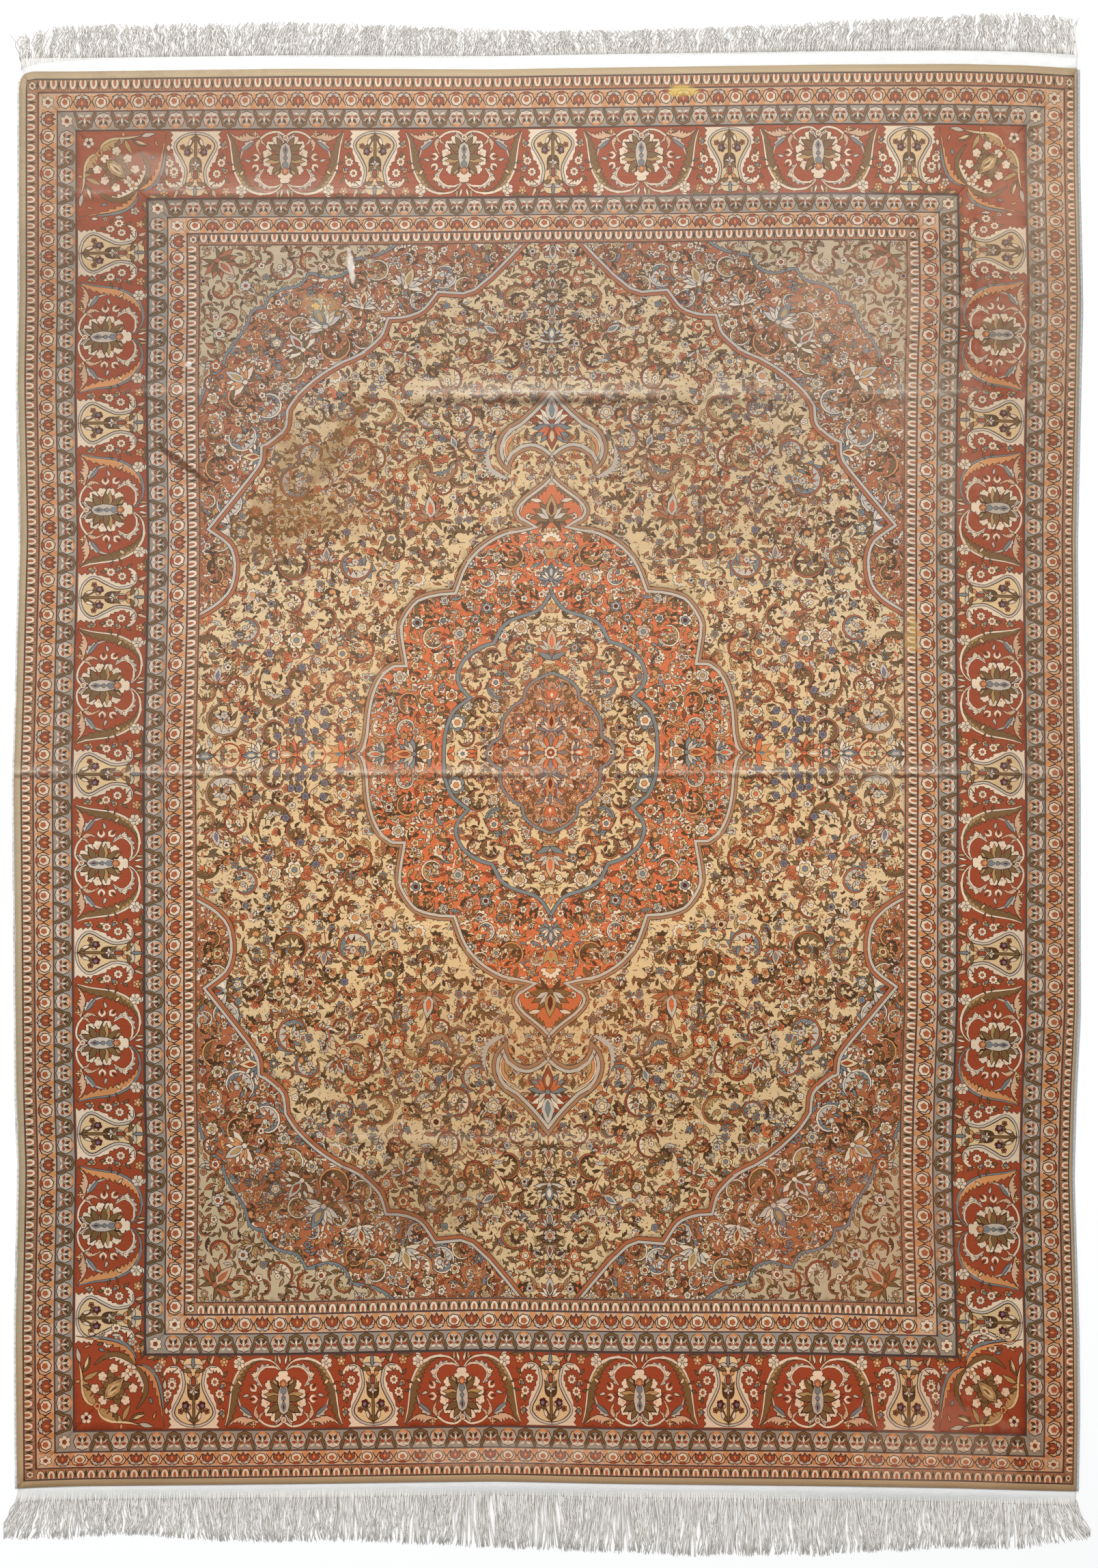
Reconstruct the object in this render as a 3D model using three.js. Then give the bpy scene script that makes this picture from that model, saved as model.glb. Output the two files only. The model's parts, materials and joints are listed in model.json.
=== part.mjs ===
// A fine silk pile rug, lying flat: the woven rug with its narrow flat-woven ends,
// an overcast cord along each long side, and a warp fringe at each end.
// Millimetres, +Z up, +Y towards the top end. The origin is under the middle of the whole
// rug, on the surface it lies on.
import * as THREE from 'three';

// ---- Driving sizes -------------------------------------------------------------------------
const PILE_THICKNESS = 3.5;       // knots and foundation together
const FLATWEAVE_THICKNESS = 1.5;  // the bare woven ends
const CORD_THICKNESS = 3.0;       // the overcast side cords
const CORD_WIDTH = 4.0;
const FRINGE_THICKNESS = 3.0;     // the loose warps where they lie over one another
const SEAM_GAP = 0.3;             // between neighbouring solids
const STEP_WIDTH = 0.6;           // run of the drop from the pile to the flatweave

const COLUMNS = 18;               // divisions of the woven rug across
const ROWS = 58;                  // divisions of the pile from end to end
const CORNER_COLUMNS = [0, 0.006, 0.018];  // closer places across, at the worn corner
const CORD_SIDES = 6;

// A clump of warps in a fringe, as shares of its own width and of the fringe's reach.
const CLUMPS = 46;
const CLUMP = {
  shoulders: [0.14, 0.88], tip: 0.45, tipSway: 0.15,
  reach: 0.97, reachSway: 0.03, shoulderDrop: 0.11, notch: 0.62, notchSway: 0.14,
};

// The outer lines of the pile. Each long side wanders a few millimetres as it goes.
const SIDE_LINES = [
  { y: -1036, left: -770, right: 779 },
  { y: -925, left: -771, right: 781 },
  { y: -800, left: -772, right: 780 },
  { y: -575, left: -767, right: 773 },
  { y: -460, left: -771, right: 776 },
  { y: -340, left: -772, right: 782 },
  { y: -10, left: -775, right: 782 },
  { y: 120, left: -771, right: 780 },
  { y: 350, left: -765, right: 778 },
  { y: 580, left: -769, right: 783 },
  { y: 700, left: -767, right: 786 },
  { y: 920, left: -767, right: 781 },
  { y: 1053, left: -767, right: 781 },
];

// The end lines of the pile, and the width of flatweave past each of them. The upper left
// corner is worn round and its flatweave tapers away.
const END_LINES = [
  { x: -772, bottom: -1032, top: 1026, bottomWeave: 3, topWeave: 1.5 },
  { x: -760, bottom: -1031, top: 1037, bottomWeave: 6, topWeave: 5 },
  { x: -740, bottom: -1030, top: 1041, bottomWeave: 8, topWeave: 11 },
  { x: -680, bottom: -1028, top: 1042, bottomWeave: 8, topWeave: 16 },
  { x: -370, bottom: -1025, top: 1046, bottomWeave: 9, topWeave: 17 },
  { x: -80, bottom: -1021, top: 1045, bottomWeave: 10, topWeave: 17 },
  { x: 115, bottom: -1025, top: 1048, bottomWeave: 10, topWeave: 17 },
  { x: 405, bottom: -1028, top: 1052, bottomWeave: 11, topWeave: 18 },
  { x: 600, bottom: -1031, top: 1053, bottomWeave: 12, topWeave: 19 },
  { x: 700, bottom: -1034, top: 1051, bottomWeave: 12, topWeave: 18 },
  { x: 786, bottom: -1036, top: 1046, bottomWeave: 8, topWeave: 14 },
];

// Where the warps end: their reach past the flatweave and how far they lean aside.
const TOP_FRINGE = [
  { x: -767, lean: -2, tip: 1094 },
  { x: -720, lean: 2, tip: 1112 },
  { x: -560, lean: -4, tip: 1113 },
  { x: -370, lean: 6, tip: 1117 },
  { x: -180, lean: 4, tip: 1110 },
  { x: 17, lean: -5, tip: 1104 },
  { x: 210, lean: 3, tip: 1108 },
  { x: 405, lean: 7, tip: 1117 },
  { x: 600, lean: 5, tip: 1127 },
  { x: 700, lean: 2, tip: 1131 },
  { x: 778, lean: -4, tip: 1122 },
];
const BOTTOM_FRINGE = [
  { x: -770, lean: -31, tip: -1106 },
  { x: -700, lean: -8, tip: -1108 },
  { x: -620, lean: 2, tip: -1100 },
  { x: -465, lean: 6, tip: -1112 },
  { x: -270, lean: -4, tip: -1110 },
  { x: -80, lean: 3, tip: -1120 },
  { x: 115, lean: -4, tip: -1127 },
  { x: 210, lean: -3, tip: -1132 },
  { x: 405, lean: 5, tip: -1131 },
  { x: 600, lean: -3, tip: -1120 },
  { x: 700, lean: 4, tip: -1122 },
  { x: 778, lean: 25, tip: -1104 },
];

// Soft ridges and fold lines, each running across the rug or along it.
const RIDGES = [
  { along: 'x', at: 860, from: -700, to: -200, height: 5.0, halfWidth: 46 },
  { along: 'x', at: 868, from: 210, to: 380, height: 3.5, halfWidth: 44 },
  { along: 'x', at: 574, from: -790, to: 790, height: 1.8, halfWidth: 38 },
  { along: 'x', at: 18, from: -790, to: 790, height: 1.8, halfWidth: 38 },
  { along: 'x', at: -505, from: -260, to: 40, height: 2.4, halfWidth: 44 },
  { along: 'y', at: 5, from: 640, to: 1080, height: 2.4, halfWidth: 60 },
];

// ---- Helpers -------------------------------------------------------------------------------

/** Reads one column of a table at a place on its first column, in straight steps. */
function reading(table, key, place, column) {
  const last = table.length - 1;
  if (place <= table[0][key]) return table[0][column];
  if (place >= table[last][key]) return table[last][column];
  const next = table.findIndex((row) => row[key] >= place);
  const a = table[next - 1];
  const b = table[next];
  return THREE.MathUtils.mapLinear(place, a[key], b[key], a[column], b[column]);
}

/** The share of a ridge that is left at a place: 1 on its line, 0 past its foot or its ends. */
function ridgeShare(ridge, x, y) {
  const [run, off] = ridge.along === 'x' ? [x, y - ridge.at] : [y, x - ridge.at];
  const across = Math.min(Math.abs(off) / ridge.halfWidth, 1);
  const toEnd = Math.min(run - ridge.from, ridge.to - run);
  const end = THREE.MathUtils.clamp(toEnd / (2 * ridge.halfWidth), 0, 1);
  return 0.5 * (1 + Math.cos(Math.PI * across)) * end;
}

/** How far the cloth stands off the surface under it. */
function lift(x, y) {
  return Math.max(0, ...RIDGES.map((ridge) => ridge.height * ridgeShare(ridge, x, y)));
}

/** A closed solid between the upper and lower points of a grid of { x, y, z, thick }. */
function sheetGeometry(grid) {
  const rows = grid.length;
  const columns = grid[0].length;
  const positions = [];
  for (const side of [1, 0]) {
    for (const row of grid) {
      for (const p of row) positions.push(p.x, p.y, p.z + side * p.thick);
    }
  }
  const faces = [];
  const quad = (a, b, c, d) => faces.push(a, b, c, a, c, d);
  const top = (r, c) => r * columns + c;
  const under = (r, c) => rows * columns + r * columns + c;
  for (let r = 0; r + 1 < rows; r += 1) {
    for (let c = 0; c + 1 < columns; c += 1) {
      quad(top(r, c), top(r, c + 1), top(r + 1, c + 1), top(r + 1, c));
      quad(under(r, c), under(r + 1, c), under(r + 1, c + 1), under(r, c + 1));
    }
    quad(under(r, columns - 1), under(r + 1, columns - 1), top(r + 1, columns - 1), top(r, columns - 1));
    quad(under(r + 1, 0), under(r, 0), top(r, 0), top(r + 1, 0));
  }
  for (let c = 0; c + 1 < columns; c += 1) {
    quad(under(0, c), under(0, c + 1), top(0, c + 1), top(0, c));
    quad(under(rows - 1, c + 1), under(rows - 1, c), top(rows - 1, c), top(rows - 1, c + 1));
  }
  const geometry = new THREE.BufferGeometry();
  geometry.setAttribute('position', new THREE.Float32BufferAttribute(positions, 3));
  geometry.setIndex(faces);
  geometry.computeVertexNormals();
  return geometry;
}

/** A named mesh with its own material. */
function piece(name, geometry, color, roughness) {
  const material = new THREE.MeshStandardMaterial({ color, roughness, metalness: 0 });
  const mesh = new THREE.Mesh(geometry, material);
  mesh.name = name;
  return mesh;
}

const pileEnd = (x, end) => reading(END_LINES, 'x', x, end);
const weaveEnd = (x, end) => {
  const outwards = end === 'top' ? 1 : -1;
  return pileEnd(x, end) + outwards * reading(END_LINES, 'x', x, `${end}Weave`);
};
const sideLine = (y, side) => reading(SIDE_LINES, 'y', y, side);

// ---- The woven rug -------------------------------------------------------------------------

/** Places across the rug from 0 to 1. */
function columnPlaces() {
  const even = Array.from({ length: COLUMNS }, (_, i) => (i + 1) / COLUMNS);
  return [...CORNER_COLUMNS, ...even];
}

/** A point of the pile: u runs across from 0 to 1, v from the bottom end to the top. */
function pilePoint(u, v) {
  const level = THREE.MathUtils.lerp(pileEnd(0, 'bottom'), pileEnd(0, 'top'), v);
  const x = THREE.MathUtils.lerp(sideLine(level, 'left'), sideLine(level, 'right'), u);
  const y = THREE.MathUtils.lerp(pileEnd(x, 'bottom'), pileEnd(x, 'top'), v);
  return { x, y };
}

/** The pile and both flatweave ends as one cloth. */
function wovenRug() {
  const stations = [
    { v: 0, past: 'bottom', share: 1 },
    { v: 0, past: 'bottom', share: 0 },
    ...Array.from({ length: ROWS + 1 }, (_, i) => ({ v: i / ROWS })),
    { v: 1, past: 'top', share: 0 },
    { v: 1, past: 'top', share: 1 },
  ];
  const grid = stations.map(({ v, past, share }) => columnPlaces().map((u) => {
    const point = pilePoint(u, v);
    if (past) {
      const outwards = past === 'top' ? 1 : -1;
      const foot = pileEnd(point.x, past) + outwards * STEP_WIDTH;
      point.y = THREE.MathUtils.lerp(foot, weaveEnd(point.x, past), share);
    }
    const thick = past ? FLATWEAVE_THICKNESS : PILE_THICKNESS;
    return { ...point, z: lift(point.x, point.y), thick };
  }));
  return piece('rug', sheetGeometry(grid), 0xb07f58, 0.55);
}

// ---- The overcast side cords ---------------------------------------------------------------

/** One cord of six-sided section that keeps beside a long side of the pile. */
function sideCord(side) {
  const outwards = side === 'right' ? 1 : -1;
  const halfWidth = CORD_WIDTH / 2;
  const halfHeight = CORD_THICKNESS / 2;
  const flatTop = Math.sin(Math.PI / 3);
  const positions = [];
  const faces = [];
  for (let r = 0; r <= ROWS; r += 1) {
    const edge = pilePoint(side === 'right' ? 1 : 0, r / ROWS);
    const middle = edge.x + outwards * (SEAM_GAP + halfWidth);
    const height = lift(edge.x, edge.y) + halfHeight;
    for (let s = 0; s < CORD_SIDES; s += 1) {
      const turn = (2 * Math.PI * s) / CORD_SIDES;
      positions.push(
        middle + halfWidth * Math.cos(turn),
        edge.y,
        height + (halfHeight / flatTop) * Math.sin(turn),
      );
    }
  }
  for (let r = 0; r < ROWS; r += 1) {
    for (let s = 0; s < CORD_SIDES; s += 1) {
      const a = r * CORD_SIDES + s;
      const b = r * CORD_SIDES + ((s + 1) % CORD_SIDES);
      faces.push(a, a + CORD_SIDES, b, b, a + CORD_SIDES, b + CORD_SIDES);
    }
  }
  const lastRing = ROWS * CORD_SIDES;
  for (let s = 1; s + 1 < CORD_SIDES; s += 1) {
    faces.push(0, s, s + 1, lastRing, lastRing + s + 1, lastRing + s);
  }
  const geometry = new THREE.BufferGeometry();
  geometry.setAttribute('position', new THREE.Float32BufferAttribute(positions, 3));
  geometry.setIndex(faces);
  geometry.computeVertexNormals();
  return piece(`selvedge_${side}`, geometry, 0xd9d6cf, 0.7);
}

// ---- The fringes ---------------------------------------------------------------------------

/** One comb of loose warps: a band along the flatweave with clumps of uneven length. */
function fringe(end) {
  const outwards = end === 'top' ? 1 : -1;
  const table = end === 'top' ? TOP_FRINGE : BOTTOM_FRINGE;
  const first = table[0].x;
  const pitch = (table[table.length - 1].x - first) / CLUMPS;
  const last = first + CLUMPS * pitch;
  const root = (x) => weaveEnd(x, end) + outwards * SEAM_GAP;
  const warp = (x, share) => new THREE.Vector2(
    x + share * reading(table, 'x', x, 'lean'),
    THREE.MathUtils.lerp(root(x), reading(table, 'x', x, 'tip'), share),
  );
  const outline = [warp(first, 0)];
  for (let i = 0; i < CLUMPS; i += 1) {
    const start = first + i * pitch;
    const sway = Math.sin(i * 2.4);
    const reach = CLUMP.reach + CLUMP.reachSway * sway;
    const [near, far] = CLUMP.shoulders;
    outline.push(warp(start + pitch * near, reach - CLUMP.shoulderDrop));
    outline.push(warp(start + pitch * (CLUMP.tip + CLUMP.tipSway * sway), reach));
    outline.push(warp(start + pitch * far, reach - CLUMP.shoulderDrop));
    if (i + 1 < CLUMPS) {
      outline.push(warp(start + pitch, CLUMP.notch + CLUMP.notchSway * Math.sin(i * 1.7)));
    }
  }
  outline.push(warp(last, 0));
  for (const row of END_LINES.slice().reverse()) {
    if (row.x > first + 1 && row.x < last - 1) outline.push(warp(row.x, 0));
  }
  const shape = new THREE.Shape(outline);
  const geometry = new THREE.ExtrudeGeometry(shape, { depth: FRINGE_THICKNESS, bevelEnabled: false });
  return piece(`fringe_${end}`, geometry, 0xcfcbc4, 0.8);
}

// ---- The whole -----------------------------------------------------------------------------
const whole = new THREE.Group();
whole.add(wovenRug(), sideCord('left'), sideCord('right'), fringe('top'), fringe('bottom'));

// Every solid stands on the surface, and the origin is under the middle of them all.
const middle = new THREE.Box3().setFromObject(whole).getCenter(new THREE.Vector3());
whole.position.set(-middle.x, -middle.y, 0);

export default whole;
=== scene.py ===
"""A fine silk pile rug, lying flat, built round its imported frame.

The design is drawn in millimetres as flat closed shapes, each shape one dyed silk with a knot-wide
outline. A panel of pile is the plane cut up by all of its shapes, so every motif is real geometry
with its own colour. The drawing is then laid onto the cloth as it really lies, a little uneven.
"""
import json
import logging
import math
import random
from dataclasses import dataclass, field
from enum import Enum
from typing import Callable, Iterator, Sequence

import bpy
import numpy as np
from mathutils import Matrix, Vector
from mathutils.geometry import delaunay_2d_cdt

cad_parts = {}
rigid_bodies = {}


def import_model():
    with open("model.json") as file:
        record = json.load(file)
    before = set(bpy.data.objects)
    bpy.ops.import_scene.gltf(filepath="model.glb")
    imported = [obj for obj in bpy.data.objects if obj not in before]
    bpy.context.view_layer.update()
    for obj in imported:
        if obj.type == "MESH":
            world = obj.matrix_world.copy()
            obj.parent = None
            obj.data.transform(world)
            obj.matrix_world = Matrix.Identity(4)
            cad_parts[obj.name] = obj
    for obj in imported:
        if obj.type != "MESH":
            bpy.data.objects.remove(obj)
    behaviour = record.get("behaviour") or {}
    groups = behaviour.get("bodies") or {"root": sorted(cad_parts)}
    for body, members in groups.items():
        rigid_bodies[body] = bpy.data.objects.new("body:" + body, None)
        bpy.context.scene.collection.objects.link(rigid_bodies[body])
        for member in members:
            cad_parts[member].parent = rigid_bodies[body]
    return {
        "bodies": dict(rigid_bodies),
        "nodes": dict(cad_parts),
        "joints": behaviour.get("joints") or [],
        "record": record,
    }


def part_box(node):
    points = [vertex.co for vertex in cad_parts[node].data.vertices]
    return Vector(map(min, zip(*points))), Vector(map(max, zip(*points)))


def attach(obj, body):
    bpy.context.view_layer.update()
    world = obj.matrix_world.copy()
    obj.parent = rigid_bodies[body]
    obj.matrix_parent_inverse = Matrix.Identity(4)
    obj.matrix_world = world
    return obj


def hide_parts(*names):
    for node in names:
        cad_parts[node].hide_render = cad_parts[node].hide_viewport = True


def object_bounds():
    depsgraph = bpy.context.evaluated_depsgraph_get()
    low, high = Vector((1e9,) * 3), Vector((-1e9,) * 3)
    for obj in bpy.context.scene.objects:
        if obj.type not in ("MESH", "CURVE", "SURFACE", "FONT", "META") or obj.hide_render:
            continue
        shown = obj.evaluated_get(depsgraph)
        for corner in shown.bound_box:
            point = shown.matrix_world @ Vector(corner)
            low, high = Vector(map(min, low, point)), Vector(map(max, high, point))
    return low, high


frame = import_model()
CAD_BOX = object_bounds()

log = logging.getLogger("rug")
MM = 0.001
FULL = 2 * math.pi
Outline = np.ndarray


# ---- Dyes ----------------------------------------------------------------------------------------
class Dye(Enum):
    """The dyed silks, as their daylight colours in 0 to 255."""

    LINE = (66, 42, 28)
    GUARD_LINE = (88, 68, 62)
    GOLD = (198, 176, 140)
    RUST = (162, 72, 40)
    CREAM = (226, 194, 147)
    CORNER_CREAM = (202, 178, 142)
    CORAL = (216, 112, 66)
    COPPER = (176, 100, 62)
    SALMON = (178, 104, 66)
    ROSE = (200, 140, 101)
    IVORY = (235, 212, 184)
    PEARL = (202, 187, 170)
    ASH = (160, 148, 134)
    BLUE = (126, 130, 130)
    DEEP_BLUE = (98, 104, 110)
    VIOLET = (122, 112, 126)
    OLIVE = (124, 92, 54)
    DARK_OLIVE = (84, 57, 32)
    STRAW = (186, 148, 96)
    APRICOT = (214, 146, 92)
    PEACH = (216, 174, 140)
    BRICK = (156, 74, 42)
    MAROON = (92, 26, 20)
    TAN = (172, 126, 92)
    KILIM = (232, 232, 230)

    def linear(self) -> np.ndarray:
        """The colour as scene-linear light."""
        share = np.array(self.value) / 255.0
        return np.where(share <= 0.04045, share / 12.92, ((share + 0.055) / 1.055) ** 2.4)

    def full(self) -> tuple[float, float, float, float]:
        """The linear colour at full cover, as a finish takes it."""
        red, green, blue = self.linear()
        return red, green, blue, 1.0

    def dressed(self, lot: float = 1.0, ground: bool = False) -> np.ndarray:
        """The linear colour, and how the finish fills it with fine leaves.

        Args:
            lot: How light this piece of it is.
            ground: Whether it is a bare ground, which takes fine leaves.

        Returns:
            Red, green, blue, and 1 for leaves on cream, 0.5 for leaves on red, 0 for none.
        """
        figure = {"CREAM": 1.0, "CORNER_CREAM": 1.0, "CORAL": 0.5, "SALMON": 0.5,
                  "ROSE": 0.5}.get(self.name, 0.0)
        return np.append(self.linear() * lot, figure if ground else 0.0)


(LINE, GUARD_LINE, GOLD, RUST, CREAM, CORNER_CREAM, CORAL, COPPER, SALMON,
 ROSE, IVORY, PEARL, ASH, BLUE, DEEP_BLUE, VIOLET, OLIVE, DARK_OLIVE, STRAW,
 APRICOT, PEACH, BRICK, MAROON, TAN, KILIM) = Dye


# ---- Outlines ------------------------------------------------------------------------------------
def signed_area(points: Outline) -> float:
    """The area inside a closed outline, negative if it runs clockwise."""
    x, y = points[:, 0], points[:, 1]
    return 0.5 * float(np.dot(x, np.roll(y, -1)) - np.dot(y, np.roll(x, -1)))


def grow(points: Outline, by: float) -> Outline:
    """Moves a closed anticlockwise outline outwards.

    Args:
        points: The outline's corners.
        by: How far each side moves; a negative value moves it inwards.

    Returns:
        An outline with as many corners.
    """
    ahead = np.roll(points, -1, axis=0) - points
    ahead /= np.maximum(np.linalg.norm(ahead, axis=1, keepdims=True), 1e-9)
    normal = np.stack([ahead[:, 1], -ahead[:, 0]], axis=1)
    before = np.roll(normal, 1, axis=0)
    middle = normal + before
    length = np.linalg.norm(middle, axis=1, keepdims=True)
    middle /= np.maximum(length, 1e-9)
    reach = by / np.maximum(length / 2, 0.45)
    return points + middle * reach


def petal(length: float, width: float, lean: float = 0.0, steps: int = 0) -> Outline:
    """A pointed oval that grows from the origin up to (lean, length), with more points if long."""
    t = np.linspace(0, 1, (steps or (2 if length < 12 else 3)) + 2)
    half = width / 2 * np.sin(np.pi * t ** 0.85)
    middle = lean * t ** 2
    right = np.stack([middle + half, length * t], axis=1)
    left = np.stack([middle - half, length * t], axis=1)[::-1][1:-1]
    return np.concatenate([right, left])


def disc(radius: float, sides: int = 8, squash: float = 1.0) -> Outline:
    """A round, or an oval if squashed."""
    turn = np.arange(sides) * FULL / sides
    return np.stack([radius * np.cos(turn), squash * radius * np.sin(turn)], axis=1)


def scallops(radius: float, lobes: int, depth: float = 0.25, share: float = 1.0,
             start: float = 0.0) -> Outline:
    """A flower's outline of round lobes.

    Args:
        radius: From the middle to a lobe's tip.
        lobes: How many lobes.
        depth: How deep the notches are, as a share of the radius.
        share: The share of a full turn that it covers; a part turn closes at the middle.
        start: The angle that it starts from.
    """
    points = []
    step = FULL * share / lobes
    round_off = (0.3, 0.7) if radius > 4.8 else (0.5,)
    for i in range(lobes):
        a = start + i * step
        points.append((radius * (1 - depth), a))
        points += [(radius, a + part * step) for part in round_off]
    if share < 1:
        points.append((radius * (1 - depth), start + lobes * step))
        points.append((0.0, 0.0))
    return np.array([(r * math.cos(a), r * math.sin(a)) for r, a in points])


def spline(points: Sequence[tuple[float, float]], steps: int = 4) -> Outline:
    """A smooth open curve through points, with some steps from each to the next."""
    p = np.array(points, dtype=float)
    p = np.concatenate([[2 * p[0] - p[1]], p, [2 * p[-1] - p[-2]]])
    t = np.linspace(0, 1, steps, endpoint=False)[:, None]
    pieces = []
    for i in range(1, len(p) - 2):
        a, b, c, d = p[i - 1], p[i], p[i + 1], p[i + 2]
        pieces.append(0.5 * (2 * b + (c - a) * t + (2 * a - 5 * b + 4 * c - d) * t ** 2
                           + (3 * b - a - 3 * c + d) * t ** 3))
    return np.concatenate(pieces + [p[-2:-1]])


def arc(radius: float, start: float, end: float, steps: int = 8,
        middle: tuple[float, float] = (0.0, 0.0), fall: float = 0.0) -> Outline:
    """Points on an arc in degrees; fall draws the end in, as a share of the radius."""
    t = np.linspace(0, 1, steps + 1)
    a = np.radians(start + (end - start) * t)
    r = radius * (1 - fall * t ** 1.5)
    return np.stack([middle[0] + r * np.cos(a), middle[1] + r * np.sin(a)], axis=1)


def normals(path: Outline) -> Outline:
    """Unit normals to the left of an open path."""
    ahead = np.gradient(path, axis=0)
    ahead /= np.maximum(np.linalg.norm(ahead, axis=1, keepdims=True), 1e-9)
    return np.stack([-ahead[:, 1], ahead[:, 0]], axis=1)


def ribbon(path: Outline, widths: float | Sequence[float]) -> Outline:
    """A band along a path, of one width or of widths spread along it."""
    if np.isscalar(widths):
        half = np.full(len(path), float(widths) / 2)
    else:
        places = np.linspace(0, 1, len(widths))
        half = np.interp(np.linspace(0, 1, len(path)), places, widths) / 2
    side = normals(path) * half[:, None]
    return np.concatenate([path - side, (path + side)[::-1]])


def frond(path: Outline, width: float, teeth: int, blunt: float = 0.4, foot: float = 0.35) -> Outline:
    """A leaf with one smooth edge along a path and hooked teeth on its left.

    Args:
        path: The smooth edge, from the stem to the tip.
        width: How far the longest tooth stands off; a negative width puts them on the right.
        teeth: How many teeth.
        blunt: How deep the notches stay, as a share of the width.
        foot: The width at the stem, as a share.
    """
    t = np.linspace(0, 1, 2 * teeth + 1)
    is_tip = np.arange(len(t)) % 2 == 1
    t = np.where(is_tip, np.minimum(t + 0.34 / teeth, 1.0), t)
    along = np.linspace(0, 1, len(path))
    side = normals(path)
    at = np.stack([np.interp(t, along, path[:, i]) for i in (0, 1)], axis=1)
    off = np.stack([np.interp(t, along, side[:, i]) for i in (0, 1)], axis=1)
    shape = (foot + (1 - foot) * np.sin(np.pi * np.minimum(t * 1.25, 1))) * (1 - t ** 3)
    edge = at + off * (width * shape * np.where(is_tip, 1.0, blunt))[:, None]
    return np.concatenate([path, edge[::-1][1:-1]])


def runs(*parts: Sequence[tuple[float, float]], steps: int = 3) -> Outline:
    """Smooth runs that meet in sharp corners, as one open path."""
    curves = [spline(part, steps)[:-1] for part in parts]
    return np.concatenate(curves + [np.array([parts[-1][-1]], dtype=float)])


# ---- Drawing -------------------------------------------------------------------------------------
LOT = 0.07              # how much lighter or darker than its name a lot of dyed silk may be


@dataclass(frozen=True)
class Place:
    """Where a motif is drawn: mirrored and sized, turned, and then moved."""

    xx: float = 1.0
    xy: float = 0.0
    yx: float = 0.0
    yy: float = 1.0
    x: float = 0.0
    y: float = 0.0

    def put(self, x: float = 0.0, y: float = 0.0, turn: float = 0.0, size: float = 1.0,
            flip: bool = False, tall: float = 1.0) -> "Place":
        """A place inside this one.

        Args:
            x: Across, in this place's own measure.
            y: Up.
            turn: Anticlockwise, in degrees.
            size: Scale.
            flip: Mirrors it left to right before it is turned.
            tall: Stretches it upwards before it is turned.
        """
        c, s = math.cos(math.radians(turn)), math.sin(math.radians(turn))
        across = -size if flip else size
        up = size * tall
        a, b, p, q = c * across, -s * up, s * across, c * up
        return Place(self.xx * a + self.xy * p, self.xx * b + self.xy * q,
                     self.yx * a + self.yy * p, self.yx * b + self.yy * q,
                     self.x + self.xx * x + self.xy * y, self.y + self.yx * x + self.yy * y)

    def points(self, outline: Outline) -> Outline:
        """An outline moved here."""
        x, y = outline[:, 0], outline[:, 1]
        return np.stack([self.x + self.xx * x + self.xy * y, self.y + self.yx * x + self.yy * y], axis=1)


class Drawing:
    """Flat shapes in the order they are laid; a later one covers an earlier one."""

    def __init__(self, seed: int) -> None:
        """Starts an empty drawing with its own source of chance."""
        self.shapes: list[tuple[Outline, np.ndarray]] = []
        self.chance = random.Random(seed)

    def lay(self, place: Place, outline: Outline, dye: Dye, even: bool = False,
            leafy: bool = False) -> Outline:
        """Lays one shape in a plain colour and returns its outline where it lies.

        Args:
            place: Where it is laid.
            outline: Its outline there.
            dye: Its colour.
            even: Whether its colour is exactly that, instead of a little lighter or darker.
            leafy: Whether the finish fills it with fine leaves.
        """
        points = place.points(np.asarray(outline, dtype=float))
        if signed_area(points) < 0:
            points = points[::-1]
        lot = 1.0 if even else 1.0 + self.chance.uniform(-LOT, LOT)
        self.shapes.append((points, dye.dressed(lot, leafy)))
        return points

    def knot(self, place: Place, outline: Outline, dye: Dye, line: float = 0.8,
             edge: Dye = LINE) -> Outline:
        """Lays a shape with a knotted line round it."""
        points = place.points(np.asarray(outline, dtype=float))
        if signed_area(points) < 0:
            points = points[::-1]
        self.shapes.append((grow(points, line), edge.dressed()))
        self.shapes.append((points, dye.dressed(1.0 + self.chance.uniform(-LOT, LOT))))
        return points

    def banded(self, outline: Outline, bands: Sequence[tuple[float, Dye]]) -> None:
        """Lays a region with bands round it, from its outer edge inwards; the last is the ground."""
        at = 0.0
        inwards = oriented(outline)
        for width, dye in bands:
            self.lay(Place(), grow(inwards, -at), dye, even=True, leafy=width == 0)
            at += width

    def hoops(self, outline: Outline, bands: Sequence[tuple[float, Dye]]) -> None:
        """Lays the bands again over what has been drawn across them, and leaves the ground as it is."""
        at = 0.0
        inwards = oriented(outline)
        for width, dye in bands[:-1]:
            outer, inner = grow(inwards, -at), grow(inwards, -at - width)
            self.lay(Place(), np.concatenate([outer, outer[:1], inner[:1], inner[:0:-1], inner[:1]]), dye,
                     even=True)
            at += width


def oriented(outline: Outline) -> Outline:
    """The outline read anticlockwise."""
    return outline if signed_area(outline) > 0 else outline[::-1]


# ---- Motifs --------------------------------------------------------------------------------------
BOTH = (False, True)


@dataclass(frozen=True)
class CurlDyes:
    """The three dyes of a curled leaf."""

    spine: Dye
    light: Dye
    dark: Dye


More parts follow.
